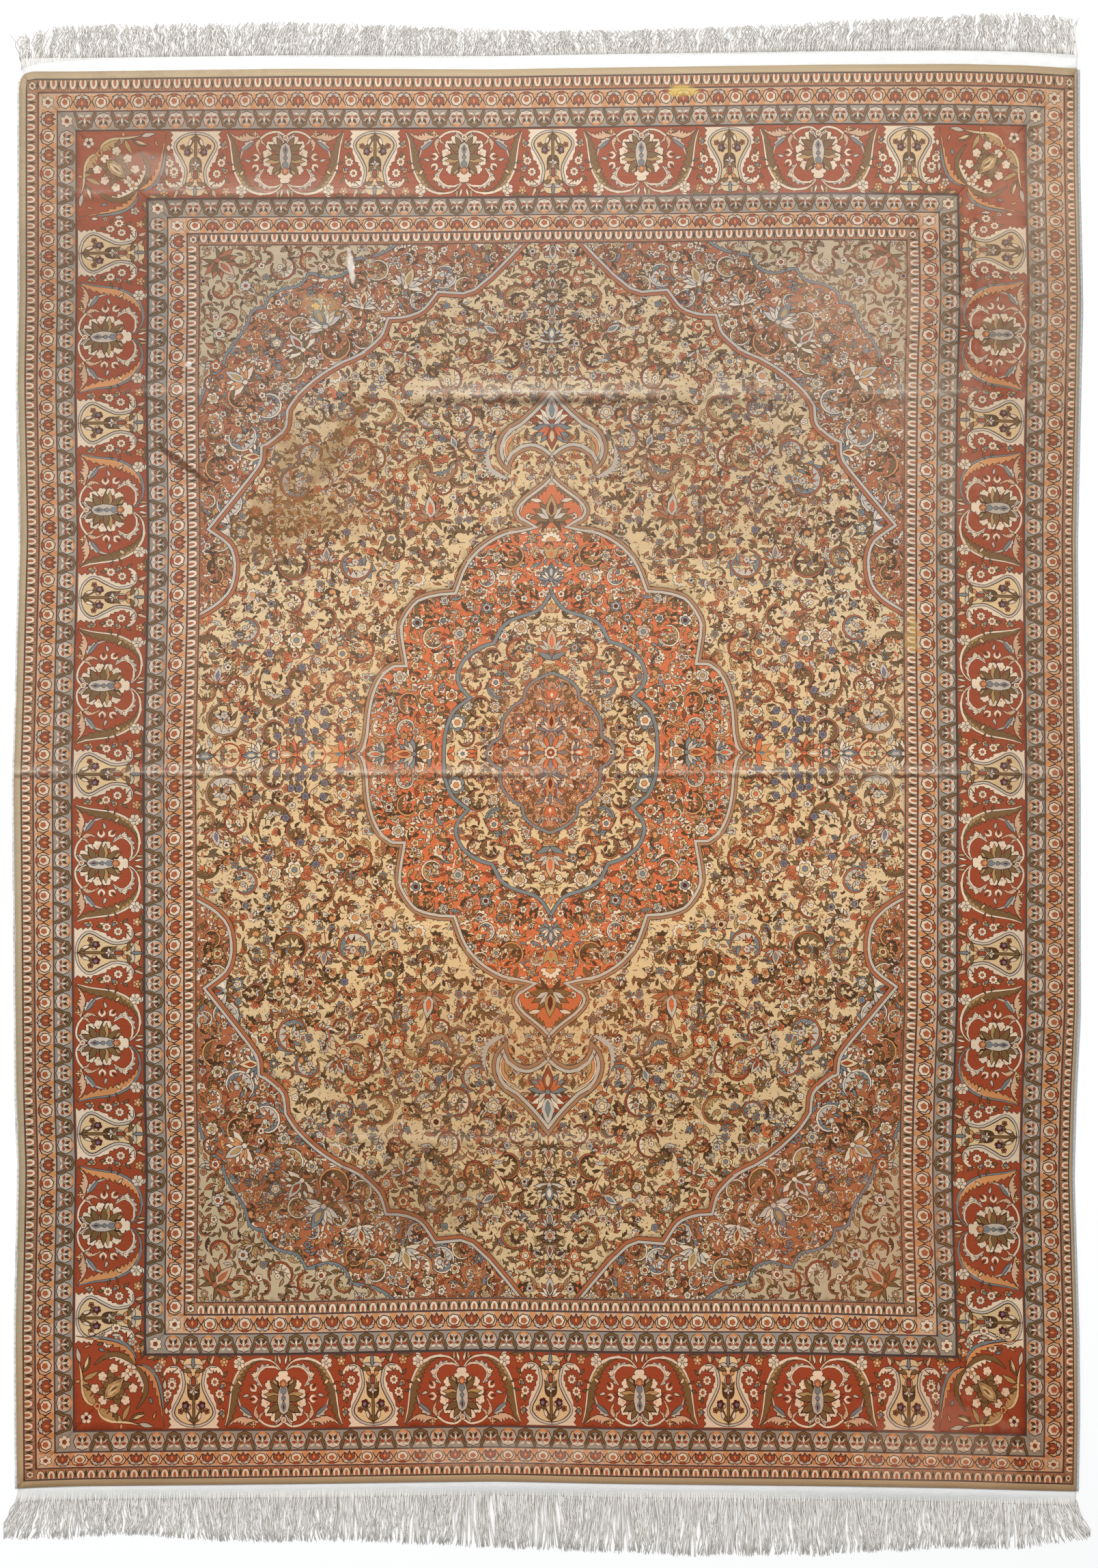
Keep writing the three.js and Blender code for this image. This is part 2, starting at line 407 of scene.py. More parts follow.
@dataclass
class Motifs:
    """The flowers and leaves of the design; each grows upwards from its own origin."""

    pen: Drawing

    def leaf(self, at: Place, length: float, width: float, dye: Dye, lean: float = 0.0,
             line: float = 0.95) -> None:
        """One pointed leaf."""
        self.pen.knot(at, petal(length, width, lean), dye, line)

    def leaves(self, at: Place, *rows: tuple[float, float, float, float, float, Dye, float]) -> None:
        """Leaves, each given by its x, y, turn, length, width, dye and lean."""
        for x, y, turn, length, width, dye, lean in rows:
            self.leaf(at.put(x, y, turn=turn), length, width, dye, lean)

    def pair(self, at: Place, length: float, width: float, dye: Dye, spread: float = 60.0,
             lean: float = 0.0) -> None:
        """Two leaves, one each side."""
        for flip in BOTH:
            self.leaf(at.put(flip=flip).put(turn=-spread), length, width, dye, lean)

    def rosette(self, at: Place, radius: float, petals: Dye, heart: Dye, lobes: int = 6) -> None:
        """A round flower with a dark-edged heart."""
        self.pen.knot(at, scallops(radius, lobes, 0.28), petals)
        self.pen.knot(at, disc(radius * 0.36, 5), heart, 0.6)

    def blossom(self, at: Place, radius: float, petals: Dye, heart: Dye, count: int = 5) -> None:
        """A flower of separate round petals."""
        for i in range(count):
            spot = at.put(turn=360 / count * i).put(y=radius * 0.6)
            self.pen.knot(spot, disc(radius * 0.4, 5), petals, 0.7)
        self.pen.knot(at, disc(radius * 0.3, 5), heart, 0.6)

    def peony(self, at: Place, radius: float, outer: Dye, inner: Dye, heart: Dye,
              leaves: Dye = OLIVE) -> None:
        """A full flower in three rings with leaves behind it."""
        for turn in (40, 130, 200, 290):
            self.leaf(at.put(turn=turn).put(y=radius * 0.6), radius * 1.05, radius * 0.56, leaves,
                      radius * 0.4)
        self.pen.knot(at, scallops(radius, 6, 0.26), outer, 0.9)
        self.pen.knot(at.put(turn=25), scallops(radius * 0.66, 5, 0.24), inner, 0.8)
        self.pen.knot(at, disc(radius * 0.32, 6), heart, 0.7)

    def bud(self, at: Place, size: float, dye: Dye, cup: Dye = OLIVE) -> None:
        """A closed flower in its cup."""
        self.pen.knot(at.put(y=size * 0.2), petal(size * 0.8, size * 0.5), dye)
        self.pair(at, size * 0.62, size * 0.3, cup, 32, size * 0.12)

    def tulip(self, at: Place, size: float, dye: Dye, heart: Dye) -> None:
        """An open flower of three points."""
        side = [(0, 0), (0.3, 0.08), (0.42, 0.4), (0.52, 0.9), (0.28, 0.72), (0.17, 0.62)]
        cup = np.array(side + [(0, 1.0)] + [(-x, y) for x, y in side[:0:-1]]) * size
        self.pen.knot(at, cup, dye)
        self.pen.lay(at.put(y=size * 0.14), petal(size * 0.42, size * 0.26), heart)

    def fan(self, at: Place, radius: float, outer: Dye, heart: Dye, lobes: int = 5) -> None:
        """Half a flower, open upwards."""
        self.pen.knot(at, scallops(radius, lobes, 0.2, 0.5), outer)
        self.pen.knot(at, scallops(radius * 0.5, 3, 0.2, 0.5), heart, 0.6)

    def stem(self, at: Place, points: Sequence[tuple[float, float]], dye: Dye = BRICK,
             width: float = 1.5) -> Outline:
        """A thin stalk along a smooth path."""
        path = spline(points, 3)
        return self.pen.lay(at, ribbon(path, [width, width, width * 0.8]), dye)

    def sprig(self, at: Place, length: float, leaves: Dye, flower: Dye, heart: Dye) -> None:
        """A short stalk with leaves at its sides and a flower at its end."""
        sway = length * 0.16
        self.stem(at, [(0, 0), (sway, length * 0.35), (0, length * 0.72)], OLIVE, 1.2)
        for up, side, size in ((0.2, 1, 0.34), (0.36, -1, 0.38), (0.55, 1, 0.3)):
            spot = at.put(sway * math.sin(up * 4), length * up, flip=side < 0)
            self.leaf(spot.put(turn=-58), length * size, length * size * 0.42, leaves, length * 0.06)
        self.rosette(at.put(y=length * 0.8), length * 0.2, flower, heart, 5)

    def curl(self, at: Place, radius: float, dyes: "CurlDyes", sweep: float = 215.0,
             teeth: int = 5, depth: float = 0.56) -> None:
        """A curled leaf: a spine bent into a ring, with hooked fronds inside it.

        Args:
            at: The middle of the ring; the spine starts below it and runs anticlockwise.
            radius: Of the ring.
            dyes: Its spine, the fronds and the darker fronds in front of them.
            sweep: How far round the spine goes, in degrees.
            teeth: How many fronds it carries.
            depth: How far the fronds reach in, as a share of the radius.
        """
        start = -110.0
        big = radius > 12
        path = arc(radius, start, start + sweep, 10 if big else 7, fall=0.30)
        thick = min(0.9 + radius * 0.075, 2.8)
        half = len(path) // 2
        if big:
            self.pen.knot(at, frond(path[:half], -radius * 0.36, 4, 0.25, 0.6), dyes.dark, 0.75)
        self.pen.knot(at, frond(path[1:-2], radius * depth, teeth, 0.24, 0.35), dyes.light, 0.85)
        self.pen.knot(at, frond(path[half:], radius * depth * 0.8, max(teeth - 2, 2), 0.3, 0.7), dyes.dark,
                      0.75)
        self.pen.knot(at, ribbon(path, [thick * 0.5, thick, thick, thick * 0.4]), dyes.spine, 0.75)
        if big:
            for x, y, turn, size in ((-0.08, -0.42, 110, 0.52), (0.12, 0.02, 20, 0.42)):
                self.leaf(at.put(radius * x, radius * y, turn=turn), radius * size, radius * 0.2,
                          dyes.dark if y < 0 else dyes.light, radius * 0.16)
        if radius > 16:
            self.pen.knot(at.put(-radius * 0.12, radius * 0.02), scallops(radius * 0.2, 5, 0.25),
                          dyes.light, 0.7)
            self.pen.lay(at.put(-radius * 0.12, radius * 0.02), disc(radius * 0.08, 4), dyes.spine)

    def swirl(self, at: Place, radius: float, stem: Dye, leaves: Sequence[Dye], flower: Dye, heart: Dye,
              sweep: float = 200.0) -> None:
        """A stem that coils in to a flower, with hooked leaves on both its sides."""
        path = arc(radius, 0, sweep, 7, fall=0.5)
        count = max(round(sweep * radius / 480), 2)
        for i in range(2 * count):
            share = (i + 0.6) / (2 * count + 0.4)
            a, r = math.radians(sweep * share), radius * (1 - 0.5 * share ** 1.5)
            spot = at.put(r * math.cos(a), r * math.sin(a))
            out = i % 2 == 0
            self.leaf(spot.put(turn=math.degrees(a) - 90 + (28 if out else 158)),
                      radius * (0.42 if out else 0.38) + 2.4,
                      3.0 + radius * 0.09, leaves[i % len(leaves)], -3.4 if out else 3.0)
        self.pen.knot(at, ribbon(path, [2.2, 1.9, 1.2]), stem, 0.55)
        end = path[-1]
        self.blossom(at.put(end[0], end[1] * 0.7), radius * 0.15 + 2.6, flower, heart, 5)

    def hook(self, at: Place, size: float, dye: Dye, teeth: int = 4, bend: float = 100.0) -> None:
        """A short curved leaf with a few teeth."""
        path = arc(size, 0, bend, 5, middle=(-size, 0))
        self.pen.knot(at, frond(path, size * 0.56, teeth, 0.3, 0.5), dye, 0.75)

    def feather(self, at: Place, path: Sequence[tuple[float, float]], width: float, teeth: int,
                dye: Dye, rib: Dye | None = None) -> None:
        """A long saw-toothed leaf on the left of a smooth path, with a paler rib along it."""
        smooth = spline(path, 3)
        self.pen.knot(at, frond(smooth, width, teeth), dye, 0.8)
        if rib is not None:
            self.pen.knot(at, ribbon(smooth, [1.2, 2.2, 2.0, 0.8]), rib, 0.6)

    def fern(self, at: Place, path: Sequence[tuple[float, float]], width: float, teeth: int, blunt: float,
             foot: float, dye: Dye) -> None:
        """A long saw-toothed leaf along a line of points."""
        self.pen.knot(at, frond(spline(path, 3), width, teeth, blunt, foot), dye)

    def palmette(self, at: Place, size: float, outer: Dye, middle: Dye, body: Dye, heart: Dye,
                 leaves: Dye = OLIVE) -> None:
        """A large fan-shaped flower seen from the side."""
        for turn in (105, 132):
            self.pair(at.put(y=size * 0.1), size * 0.72, size * 0.2, leaves, turn, size * 0.2)
        for turn in (82, 56, 30):
            self.pair(at, size * 0.84, size * 0.3, outer, turn, size * 0.06)
        for turn in (68, 42, 17):
            self.pair(at, size * 0.66, size * 0.19, middle, turn)
        self.leaf(at, size, size * 0.44, body)
        self.leaf(at.put(y=size * 0.16), size * 0.56, size * 0.22, heart, 0, 0.6)
        self.pen.knot(at.put(y=-size * 0.04), disc(size * 0.12, 6), outer, 0.6)


# ---- Bare ground ---------------------------------------------------------------------------------
class Ground:
    """Keeps track of which parts of a region are still bare, on a fine net of cells."""

    def __init__(self, low: tuple[float, float], high: tuple[float, float], cell: float = 1.5) -> None:
        """Starts with all of the box taken; regions are then opened in it."""
        self.low, self.cell = np.array(low), cell
        size = np.ceil((np.array(high) - self.low) / cell).astype(int)
        self.taken = np.ones((size[1], size[0]), dtype=bool)

    def _cells(self, outline: Outline) -> tuple[tuple[slice, slice], np.ndarray] | None:
        """The cells whose middles lie inside an outline."""
        low = np.floor((outline.min(axis=0) - self.low) / self.cell).astype(int)
        high = np.ceil((outline.max(axis=0) - self.low) / self.cell).astype(int)
        low = np.maximum(low, 0)
        high = np.minimum(high, (self.taken.shape[1], self.taken.shape[0]))
        if (high <= low).any():
            return None
        x = self.low[0] + (np.arange(low[0], high[0]) + 0.5) * self.cell
        y = self.low[1] + (np.arange(low[1], high[1]) + 0.5) * self.cell
        inside = np.zeros((len(y), len(x)), dtype=bool)
        for (ax, ay), (bx, by) in zip(outline, np.roll(outline, -1, axis=0)):
            if ay == by:
                continue
            crosses = (ay > y) != (by > y)
            cut = ax + (y - ay) / (by - ay) * (bx - ax)
            inside ^= crosses[:, None] & (x[None, :] < cut[:, None])
        return (slice(low[1], high[1]), slice(low[0], high[0])), inside

    def mark(self, outline: Outline, taken: bool) -> None:
        """Opens or takes the inside of an outline."""
        found = self._cells(outline)
        if found is not None:
            where, inside = found
            self.taken[where][inside] = taken

    def bare(self, points: Outline) -> bool:
        """Whether none of these points is taken."""
        at = np.floor((points - self.low) / self.cell).astype(int)
        height, width = self.taken.shape
        if (at < 0).any() or (at[:, 0] >= width).any() or (at[:, 1] >= height).any():
            return False
        return not self.taken[at[:, 1], at[:, 0]].any()

    def places(self, chance: random.Random, step: float) -> Iterator[tuple[float, float]]:
        """Bare places in a shuffled order, about a step apart."""
        stride = max(int(step / self.cell), 1)
        rows, columns = np.nonzero(~self.taken[::stride, ::stride])
        order = list(range(len(rows)))
        chance.shuffle(order)
        for i in order:
            x = self.low[0] + (columns[i] * stride + chance.random() * stride) * self.cell
            y = self.low[1] + (rows[i] * stride + chance.random() * stride) * self.cell
            yield x, y


@dataclass(frozen=True)
class Filling:
    """One kind of small motif that fills bare ground.

    Attributes:
        foot: Its outline for finding room, round its origin.
        draw: Draws it at a place.
        step: How far apart its places are tried.
        tries: How many turns are tried at a place.
    """

    foot: Outline
    draw: Callable[[Place], None]
    step: float
    tries: int = 2


def fill_ground(ground: Ground, kinds: Sequence[Filling], chance: random.Random) -> int:
    """Fills bare ground with small motifs, larger kinds first.

    Returns:
        How many motifs were laid.
    """
    laid = 0
    for kind in kinds:
        probe = np.concatenate([kind.foot * 1.06, kind.foot * 0.55, [[0.0, 0.0]]])
        for x, y in ground.places(chance, kind.step):
            for _ in range(kind.tries):
                place = Place().put(x, y, turn=chance.uniform(0, 360), flip=chance.random() < 0.5)
                if ground.bare(place.points(probe)):
                    kind.draw(place)
                    ground.mark(place.points(kind.foot * 1.08), True)
                    laid += 1
                    break
    return laid


# ---- The cloth as it lies ------------------------------------------------------------------------
HALF_WIDTH, HALF_LENGTH = 776.0, 1036.0     # the drawn rug, straight and square
GUARDS_IN, MAIN_IN, FIELD_IN = 88.0, 185.0, 262.0   # how far in each border ends
FIELD_X, FIELD_Y = HALF_WIDTH - FIELD_IN, HALF_LENGTH - FIELD_IN
BASE_TOP, PILE_TOP = 1.5, 3.5               # foundation and pile, measured up from the floor


class Cloth:
    """Turns the drawn rug into the real one, whose edges wander and whose middle sits high."""

    SIDES = np.array([  # along, left, right
        (-1036, -770, 779), (-925, -771, 781), (-800, -772, 780), (-575, -767, 773),
        (-460, -771, 776), (-340, -772, 782), (-10, -775, 782), (120, -771, 780), (350, -765, 778),
        (580, -769, 783), (700, -767, 786), (920, -767, 781), (1053, -767, 781)], dtype=float)
    ENDS = np.array([  # across, bottom, top, bottom flatweave, top flatweave
        (-772, -1032, 1042, 3, 1.5), (-760, -1031, 1042, 6, 5), (-740, -1030, 1042, 8, 11),
        (-680, -1028, 1042, 8, 16), (-370, -1025, 1046, 9, 17), (-80, -1021, 1045, 10, 17),
        (115, -1025, 1048, 10, 17), (405, -1028, 1052, 11, 18), (600, -1031, 1053, 12, 19),
        (700, -1034, 1051, 12, 18), (786, -1036, 1046, 8, 14)], dtype=float)
    RIDGES = (  # runs across?, at, from, to, height, half width
        (True, 860, -700, -200, 5.0, 46), (True, 868, 210, 380, 3.5, 44),
        (True, 574, -790, 790, 1.0, 20), (True, 18, -790, 790, 1.2, 13),
        (True, -505, -260, 40, 2.4, 44), (False, 5, 640, 1080, 2.4, 60))
    WORN_CORNER = 18.0
    DEPTHS = np.array([  # drawn depth from an edge; how much farther in it lies at bottom, top, left, right
        (0, 0, 0, 0, 0), (13, -3.7, -2.4, -4.3, -9), (30, -4.6, 0.6, -4.3, -12),
        (56, -8.8, 2.9, -2.7, -8.7),
        (87, -8.9, 2.4, -5, -10.8), (185, 1.2, 9.4, 0.6, -6.8), (214, 1, 6.8, 0, -8), (242, 0, 3, 0, -6),
        (262, 0, 3, 0, -5), (420, 0, 0, 0, 0)], dtype=float)

    def __init__(self) -> None:
        """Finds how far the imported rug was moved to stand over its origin."""
        low, high = (np.array(corner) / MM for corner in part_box("rug"))
        sides, ends = self.SIDES, self.ENDS
        self.shift_x = (low[0] + high[0]) / 2 - (sides[:, 1].min() + sides[:, 2].max()) / 2
        ends_low = (ends[:, 1] - ends[:, 3]).min()
        ends_high = (ends[:, 2] + ends[:, 4]).max()
        self.shift_y = (low[1] + high[1]) / 2 - (ends_low + ends_high) / 2
        self.lines = {name: self._smooth(sides[:, 0], sides[:, i + 1], 60)
                      for i, name in enumerate(("left", "right"))}
        for i, name in enumerate(("bottom", "top", "bottom_weave", "top_weave")):
            self.lines[name] = self._smooth(ends[:, 0], ends[:, i + 1], 60 if i < 2 else 8)

    @staticmethod
    def _smooth(places: np.ndarray, values: np.ndarray, reach: float) -> tuple[np.ndarray, np.ndarray]:
        """A table's column as an even run of readings with its corners rounded off."""
        step = 4.0
        at = np.arange(places[0] - 100, places[-1] + 100, step)
        plain = np.interp(at, places, values)
        kernel = np.hanning(max(int(reach / step) | 1, 3))
        pad = len(kernel) // 2
        soft = np.convolve(np.pad(plain, pad, mode="edge"), kernel / kernel.sum(), mode="valid")
        return at, soft

    def line(self, name: str, at: np.ndarray) -> np.ndarray:
        """Reads one of the rug's edge lines."""
        return np.interp(at, *self.lines[name])

    def pushed(self, at: np.ndarray, half: float, low: int, high: int) -> np.ndarray:
        """Moves the drawn borders of two facing sides to their real depths."""
        depths = self.DEPTHS
        return (at + np.interp(at + half, depths[:, 0], depths[:, low])
                - np.interp(half - at, depths[:, 0], depths[:, high]))

    def spot(self, x: np.ndarray, y: np.ndarray) -> tuple[np.ndarray, np.ndarray]:
        """Where a drawn point lies on the floor, in millimetres."""
        x, y = self.pushed(x, HALF_WIDTH, 3, 4), self.pushed(y, HALF_LENGTH, 1, 2)
        u = (x + HALF_WIDTH) / (2 * HALF_WIDTH)
        v = (y + HALF_LENGTH) / (2 * HALF_LENGTH)
        middle = np.array(0.0)
        bottom, top = self.line("bottom", middle), self.line("top", middle)
        level = bottom + v * (top - bottom)
        left, right = self.line("left", level), self.line("right", level)
        real_x = left + u * (right - left)
        bottom, top = self.line("bottom", real_x), self.line("top", real_x)
        real_y = bottom + v * (top - bottom)
        off_side = 1 - np.clip(np.abs(x) / HALF_WIDTH, 0, 1) ** 2
        off_end = 1 - np.clip(np.abs(y) / HALF_LENGTH, 0, 1) ** 6
        inner = np.clip(np.abs(y) / FIELD_Y, 0, 1) ** 2.2
        outer = np.clip((HALF_LENGTH - np.abs(y)) / FIELD_IN, 0, 1)
        real_x += 5.5 * off_side + off_side * (1.3 * np.sin(y / 173 + 1.3) + 0.8 * np.sin(y / 61 + x / 240))
        beyond = np.clip((np.abs(x) - FIELD_X) / 60, 0, 1)
        real_y += 7.5 * outer + 25.0 * (1 - inner) * (1 - 0.35 * beyond)
        real_y += off_end * (1.5 * np.sin(x / 211 + 0.7) + 0.8 * np.sin(x / 77 + y / 300))
        return self._worn(real_x, real_y, x, y)

    def _worn(self, real_x: np.ndarray, real_y: np.ndarray, x: np.ndarray, y: np.ndarray
              ) -> tuple[np.ndarray, np.ndarray]:
        """Rounds the upper left corner, where the pile is worn away, and adds the frame's shift."""
        reach = self.WORN_CORNER
        dx = np.clip((-HALF_WIDTH + reach - x) / reach, 0, None)
        dy = np.clip((y - HALF_LENGTH + reach) / reach, 0, None)
        pull = np.where((dx > 0) & (dy > 0), 1 - np.maximum(dx, dy) / np.maximum(np.hypot(dx, dy), 1e-9), 0)
        return real_x + dx * reach * pull + self.shift_x, real_y - dy * reach * pull + self.shift_y

    def lift(self, x: np.ndarray, y: np.ndarray) -> np.ndarray:
        """How far the cloth stands off the floor at a real place, ridges and fold lines included."""
        height = np.zeros_like(x)
        for across, at, start, end, rise, half in self.RIDGES:
            run, off = (x, y - at) if across else (y, x - at)
            share = 0.5 * (1 + np.cos(np.pi * np.clip(np.abs(off) / half, 0, 1)))
            share = share * np.clip(np.minimum(run - start, end - run) / (2 * half), 0, 1)
            height = np.maximum(height, rise * share)
        return height + 0.25 * (1 + np.sin(x / 90 + 1.1 * np.sin(y / 130)) * np.sin(y / 75 + 0.6))

    def points(self, x: np.ndarray, y: np.ndarray, height: float) -> np.ndarray:
        """Drawn points as mesh points in metres, a height above the underside."""
        real_x, real_y = self.spot(x, y)
        return np.stack([real_x, real_y, self.lift(real_x, real_y) + height], axis=1) * MM


# ---- Pile panels ---------------------------------------------------------------------------------
def densify(outline: Outline, step: float = 12.0) -> Outline:
    """Adds points to the long sides of a closed outline."""
    points = []
    for a, b in zip(outline, np.roll(outline, -1, axis=0)):
        count = max(int(np.linalg.norm(b - a) / step), 1)
        points.append(a + (b - a) * np.linspace(0, 1, count, endpoint=False)[:, None])
    return np.concatenate(points)


@dataclass
class Patches:
    """A drawing cut into triangles.

    Attributes:
        points: Where their corners are drawn.
        triangles: Three corners each, anticlockwise.
        colours: One linear colour each.
        regions: For each region, which triangles lie in it.
    """

    points: np.ndarray
    triangles: np.ndarray
    colours: np.ndarray
    regions: list[np.ndarray]

    def part(self, keep: np.ndarray, mirrors: Sequence[tuple[int, int]] = ((1, 1),)) -> "Patches":
        """Some of the triangles, laid down once for each mirror and joined at shared corners."""
        points, triangles, colours = [], [], []
        count = 0
        for side, end in mirrors:
            tri = self.triangles[keep]
            points.append(self.points * (side, end))
            triangles.append((tri if side * end > 0 else tri[:, ::-1]) + count)
            colours.append(self.colours[keep])
            count += len(self.points)
        every = np.concatenate(points)
        used, corner = np.unique(np.concatenate(triangles), return_inverse=True)
        keys = np.round(every[used] * 1000).astype(np.int64)
        _, first, joined = np.unique(keys, axis=0, return_index=True, return_inverse=True)
        tri = joined.reshape(-1)[corner.reshape(-1)].reshape(-1, 3)
        whole = (tri[:, 0] != tri[:, 1]) & (tri[:, 1] != tri[:, 2]) & (tri[:, 2] != tri[:, 0])
        return Patches(every[used][first], tri[whole], np.concatenate(colours)[whole], [])


def within(outline: Outline, x: np.ndarray, y: np.ndarray) -> np.ndarray:
    """Which spots lie inside a closed outline."""
    inside = np.zeros(len(x), dtype=bool)
    for (ax, ay), (bx, by) in zip(outline, np.roll(outline, -1, axis=0)):
        if ay != by:
            inside ^= ((ay > y) != (by > y)) & (x < ax + (y - ay) / (by - ay) * (bx - ax))
    return inside


class Cutter:
    """Cuts a panel along the outlines that show in its drawing.

    The panel is cut twice. The first cut, along every outline, finds which edges part two colours;
    the second is along those alone, so that what lies hidden under other shapes costs nothing.
    """

    SLACK = 0.41        # how far a point may be off the line between its neighbours and be left out

    def __init__(self, shapes: Sequence[tuple[Outline, np.ndarray]], regions: Sequence[Outline],
                 step: float = 30.0, longest: float = 15.0) -> None:
        """Picks out the shapes that touch the panel.

        Args:
            shapes: The drawing, each shape with its colour.
            regions: Closed outlines; triangles outside the first are dropped.
            step: Spacing of the plain points that keep the panel bendable.
            longest: The longest edge that a shape may keep.
        """
        self.longest = longest
        low, high = regions[0].min(axis=0), regions[0].max(axis=0)
        self.borders = [densify(region) for region in regions]
        self.drawn = [(densify(outline, longest), colour) for outline, colour in shapes
                      if (outline.min(axis=0) < high).all() and (outline.max(axis=0) > low).all()]
        self.net = np.array([(x, y) for x in np.arange(low[0] + step / 2, high[0], step)
                             for y in np.arange(low[1] + step / 2, high[1], step)])

    @staticmethod
    def rings(outlines: Sequence[Outline]) -> tuple[np.ndarray, np.ndarray]:
        """All points of closed outlines, and the edges between them."""
        edges, base = [], 0
        for outline in outlines:
            i = np.arange(len(outline))
            edges.append(np.stack([i, np.roll(i, -1)], axis=1) + base)
            base += len(outline)
        return np.concatenate(outlines), np.concatenate(edges)

    def triangulate(self, points: np.ndarray, edges: np.ndarray) -> tuple[np.ndarray, np.ndarray]:
        """Triangles that keep to the given edges and to the panel's borders."""
        border_points, border_edges = self.rings(self.borders)
        every = np.concatenate([self.net, border_points, points])
        base = len(self.net)
        kept = np.concatenate([border_edges + base, edges + base + len(border_points)])
        spots = [Vector(p) for p in every.tolist()]
        found = delaunay_2d_cdt(spots, kept.tolist(), [], 0, 1e-3, False)
        return np.array([tuple(v) for v in found[0]]), np.array(found[2])

    def paint(self, points: np.ndarray, triangles: np.ndarray
              ) -> tuple[np.ndarray, np.ndarray, np.ndarray]:
        """The triangles sorted across, the shape that each shows, and the regions that it lies in."""
        middle = points[triangles].mean(axis=1)
        order = np.argsort(middle[:, 0])
        triangles = triangles[order]
        x, y = middle[order].T

        def hits(outline: Outline) -> np.ndarray:
            """The triangles whose middles lie inside an outline."""
            start, end = np.searchsorted(x, (outline[:, 0].min(), outline[:, 0].max()))
            level = y[start:end]
            near = start + np.nonzero((level > outline[:, 1].min()) & (level < outline[:, 1].max()))[0]
            return near[within(outline, x[near], y[near])]

        owner = np.zeros(len(triangles), dtype=int)
        for i, (outline, _) in enumerate(self.drawn):
            owner[hits(outline)] = i
        member = np.zeros((len(self.borders), len(triangles)), dtype=bool)
        for i, outline in enumerate(self.borders):
            member[i, hits(outline)] = True
        return triangles, owner, member

    def shown_edges(self, points: np.ndarray, triangles: np.ndarray, label: np.ndarray) -> np.ndarray:
        """Edges that part two labels, with the points that bend them least left out."""
        size = len(points)
        sides = np.concatenate([triangles[:, [0, 1]], triangles[:, [1, 2]], triangles[:, [2, 0]]])
        keys = sides.min(axis=1) * size + sides.max(axis=1)
        order = np.argsort(keys, kind="stable")
        keys, marks = keys[order], np.tile(label, 3)[order]
        same = keys[1:] == keys[:-1]
        parting = keys[1:][same & (marks[1:] != marks[:-1])]
        ends = np.stack([parting // size, parting % size], axis=1)
        near: dict[int, set[int]] = {}
        for a, b in ends.tolist():
            near.setdefault(a, set()).add(b)
            near.setdefault(b, set()).add(a)
        at = points.tolist()
        for v in list(near):
            if len(near[v]) != 2:
                continue
            a, b = near[v]
            if b in near[a]:
                continue
            (px, py), (ax, ay), (bx, by) = at[v], at[a], at[b]
            dx, dy = bx - ax, by - ay
            length = math.hypot(dx, dy)
            if 0 < length < self.longest and abs((px - ax) * dy - (py - ay) * dx) / length < self.SLACK:
                near[a].remove(v)
                near[b].remove(v)
                near[a].add(b)
                near[b].add(a)
                del near[v]
        return np.array([(a, b) for a, others in near.items() for b in others if a < b])

    def cut(self) -> Patches:
        """Cuts the panel."""
        points, edges = self.rings([outline for outline, _ in self.drawn])
        points, triangles = self.triangulate(points, edges)
        triangles, owner, member = self.paint(points, triangles)
        colours = np.array([colour for _, colour in self.drawn])
        _, hue = np.unique(np.round(colours * 4096).astype(int), axis=0, return_inverse=True)
        label = np.where(member[0], hue.reshape(-1)[owner], -1)
        shown = self.shown_edges(points, triangles, label)
        used, ends = np.unique(shown, return_inverse=True)
        points, triangles = self.triangulate(points[used], ends.reshape(-1, 2))
        triangles, owner, member = self.paint(points, triangles)
        kept = member[0]
        return Patches(points, triangles[kept], colours[owner[kept]], list(member[:, kept]))


def rim_edges(triangles: np.ndarray) -> np.ndarray:
    """The edges that only one triangle has, each in that triangle's direction."""
    edges = np.concatenate([triangles[:, [0, 1]], triangles[:, [1, 2]], triangles[:, [2, 0]]])
    size = int(edges.max()) + 1
    forward = edges[:, 0] * size + edges[:, 1]
    backward = edges[:, 1] * size + edges[:, 0]
    return edges[~np.isin(forward, backward)]


def mesh_object(name: str, points: np.ndarray, faces: Sequence[np.ndarray]) -> bpy.types.Object:
    """A new mesh from points and blocks of faces, each block with as many corners a face."""
    mesh = bpy.data.meshes.new(name)
    mesh.vertices.add(len(points))
    mesh.vertices.foreach_set("co", points.astype(np.float32).ravel())
    loops = np.concatenate([block.ravel() for block in faces]).astype(np.int32)
    sizes = np.concatenate([np.full(len(block), block.shape[1]) for block in faces])
    starts = np.concatenate([[0], np.cumsum(sizes)[:-1]])
    mesh.loops.add(len(loops))
    mesh.loops.foreach_set("vertex_index", loops)
    mesh.polygons.add(len(sizes))
    mesh.polygons.foreach_set("loop_start", starts.astype(np.int32))
    mesh.update(calc_edges=True)
    mesh.validate()
    made = bpy.data.objects.new(name, mesh)
    bpy.context.scene.collection.objects.link(made)
    return made


def corner_colours(made: bpy.types.Object, name: str, colours: np.ndarray) -> None:
    """Stores one colour for each face corner."""
    layer = made.data.color_attributes.new(name, "FLOAT_COLOR", "CORNER")
    if colours.shape[1] == 3:
        colours = np.concatenate([colours, np.zeros((len(colours), 1))], axis=1)
    layer.data.foreach_set("color", colours.astype(np.float32).ravel())


MAP_SHOWN = (0.012, 0.976)      # where the drawn face starts in the flat map, and how much it takes up
MAP_HIDDEN = (0.001, 0.008)


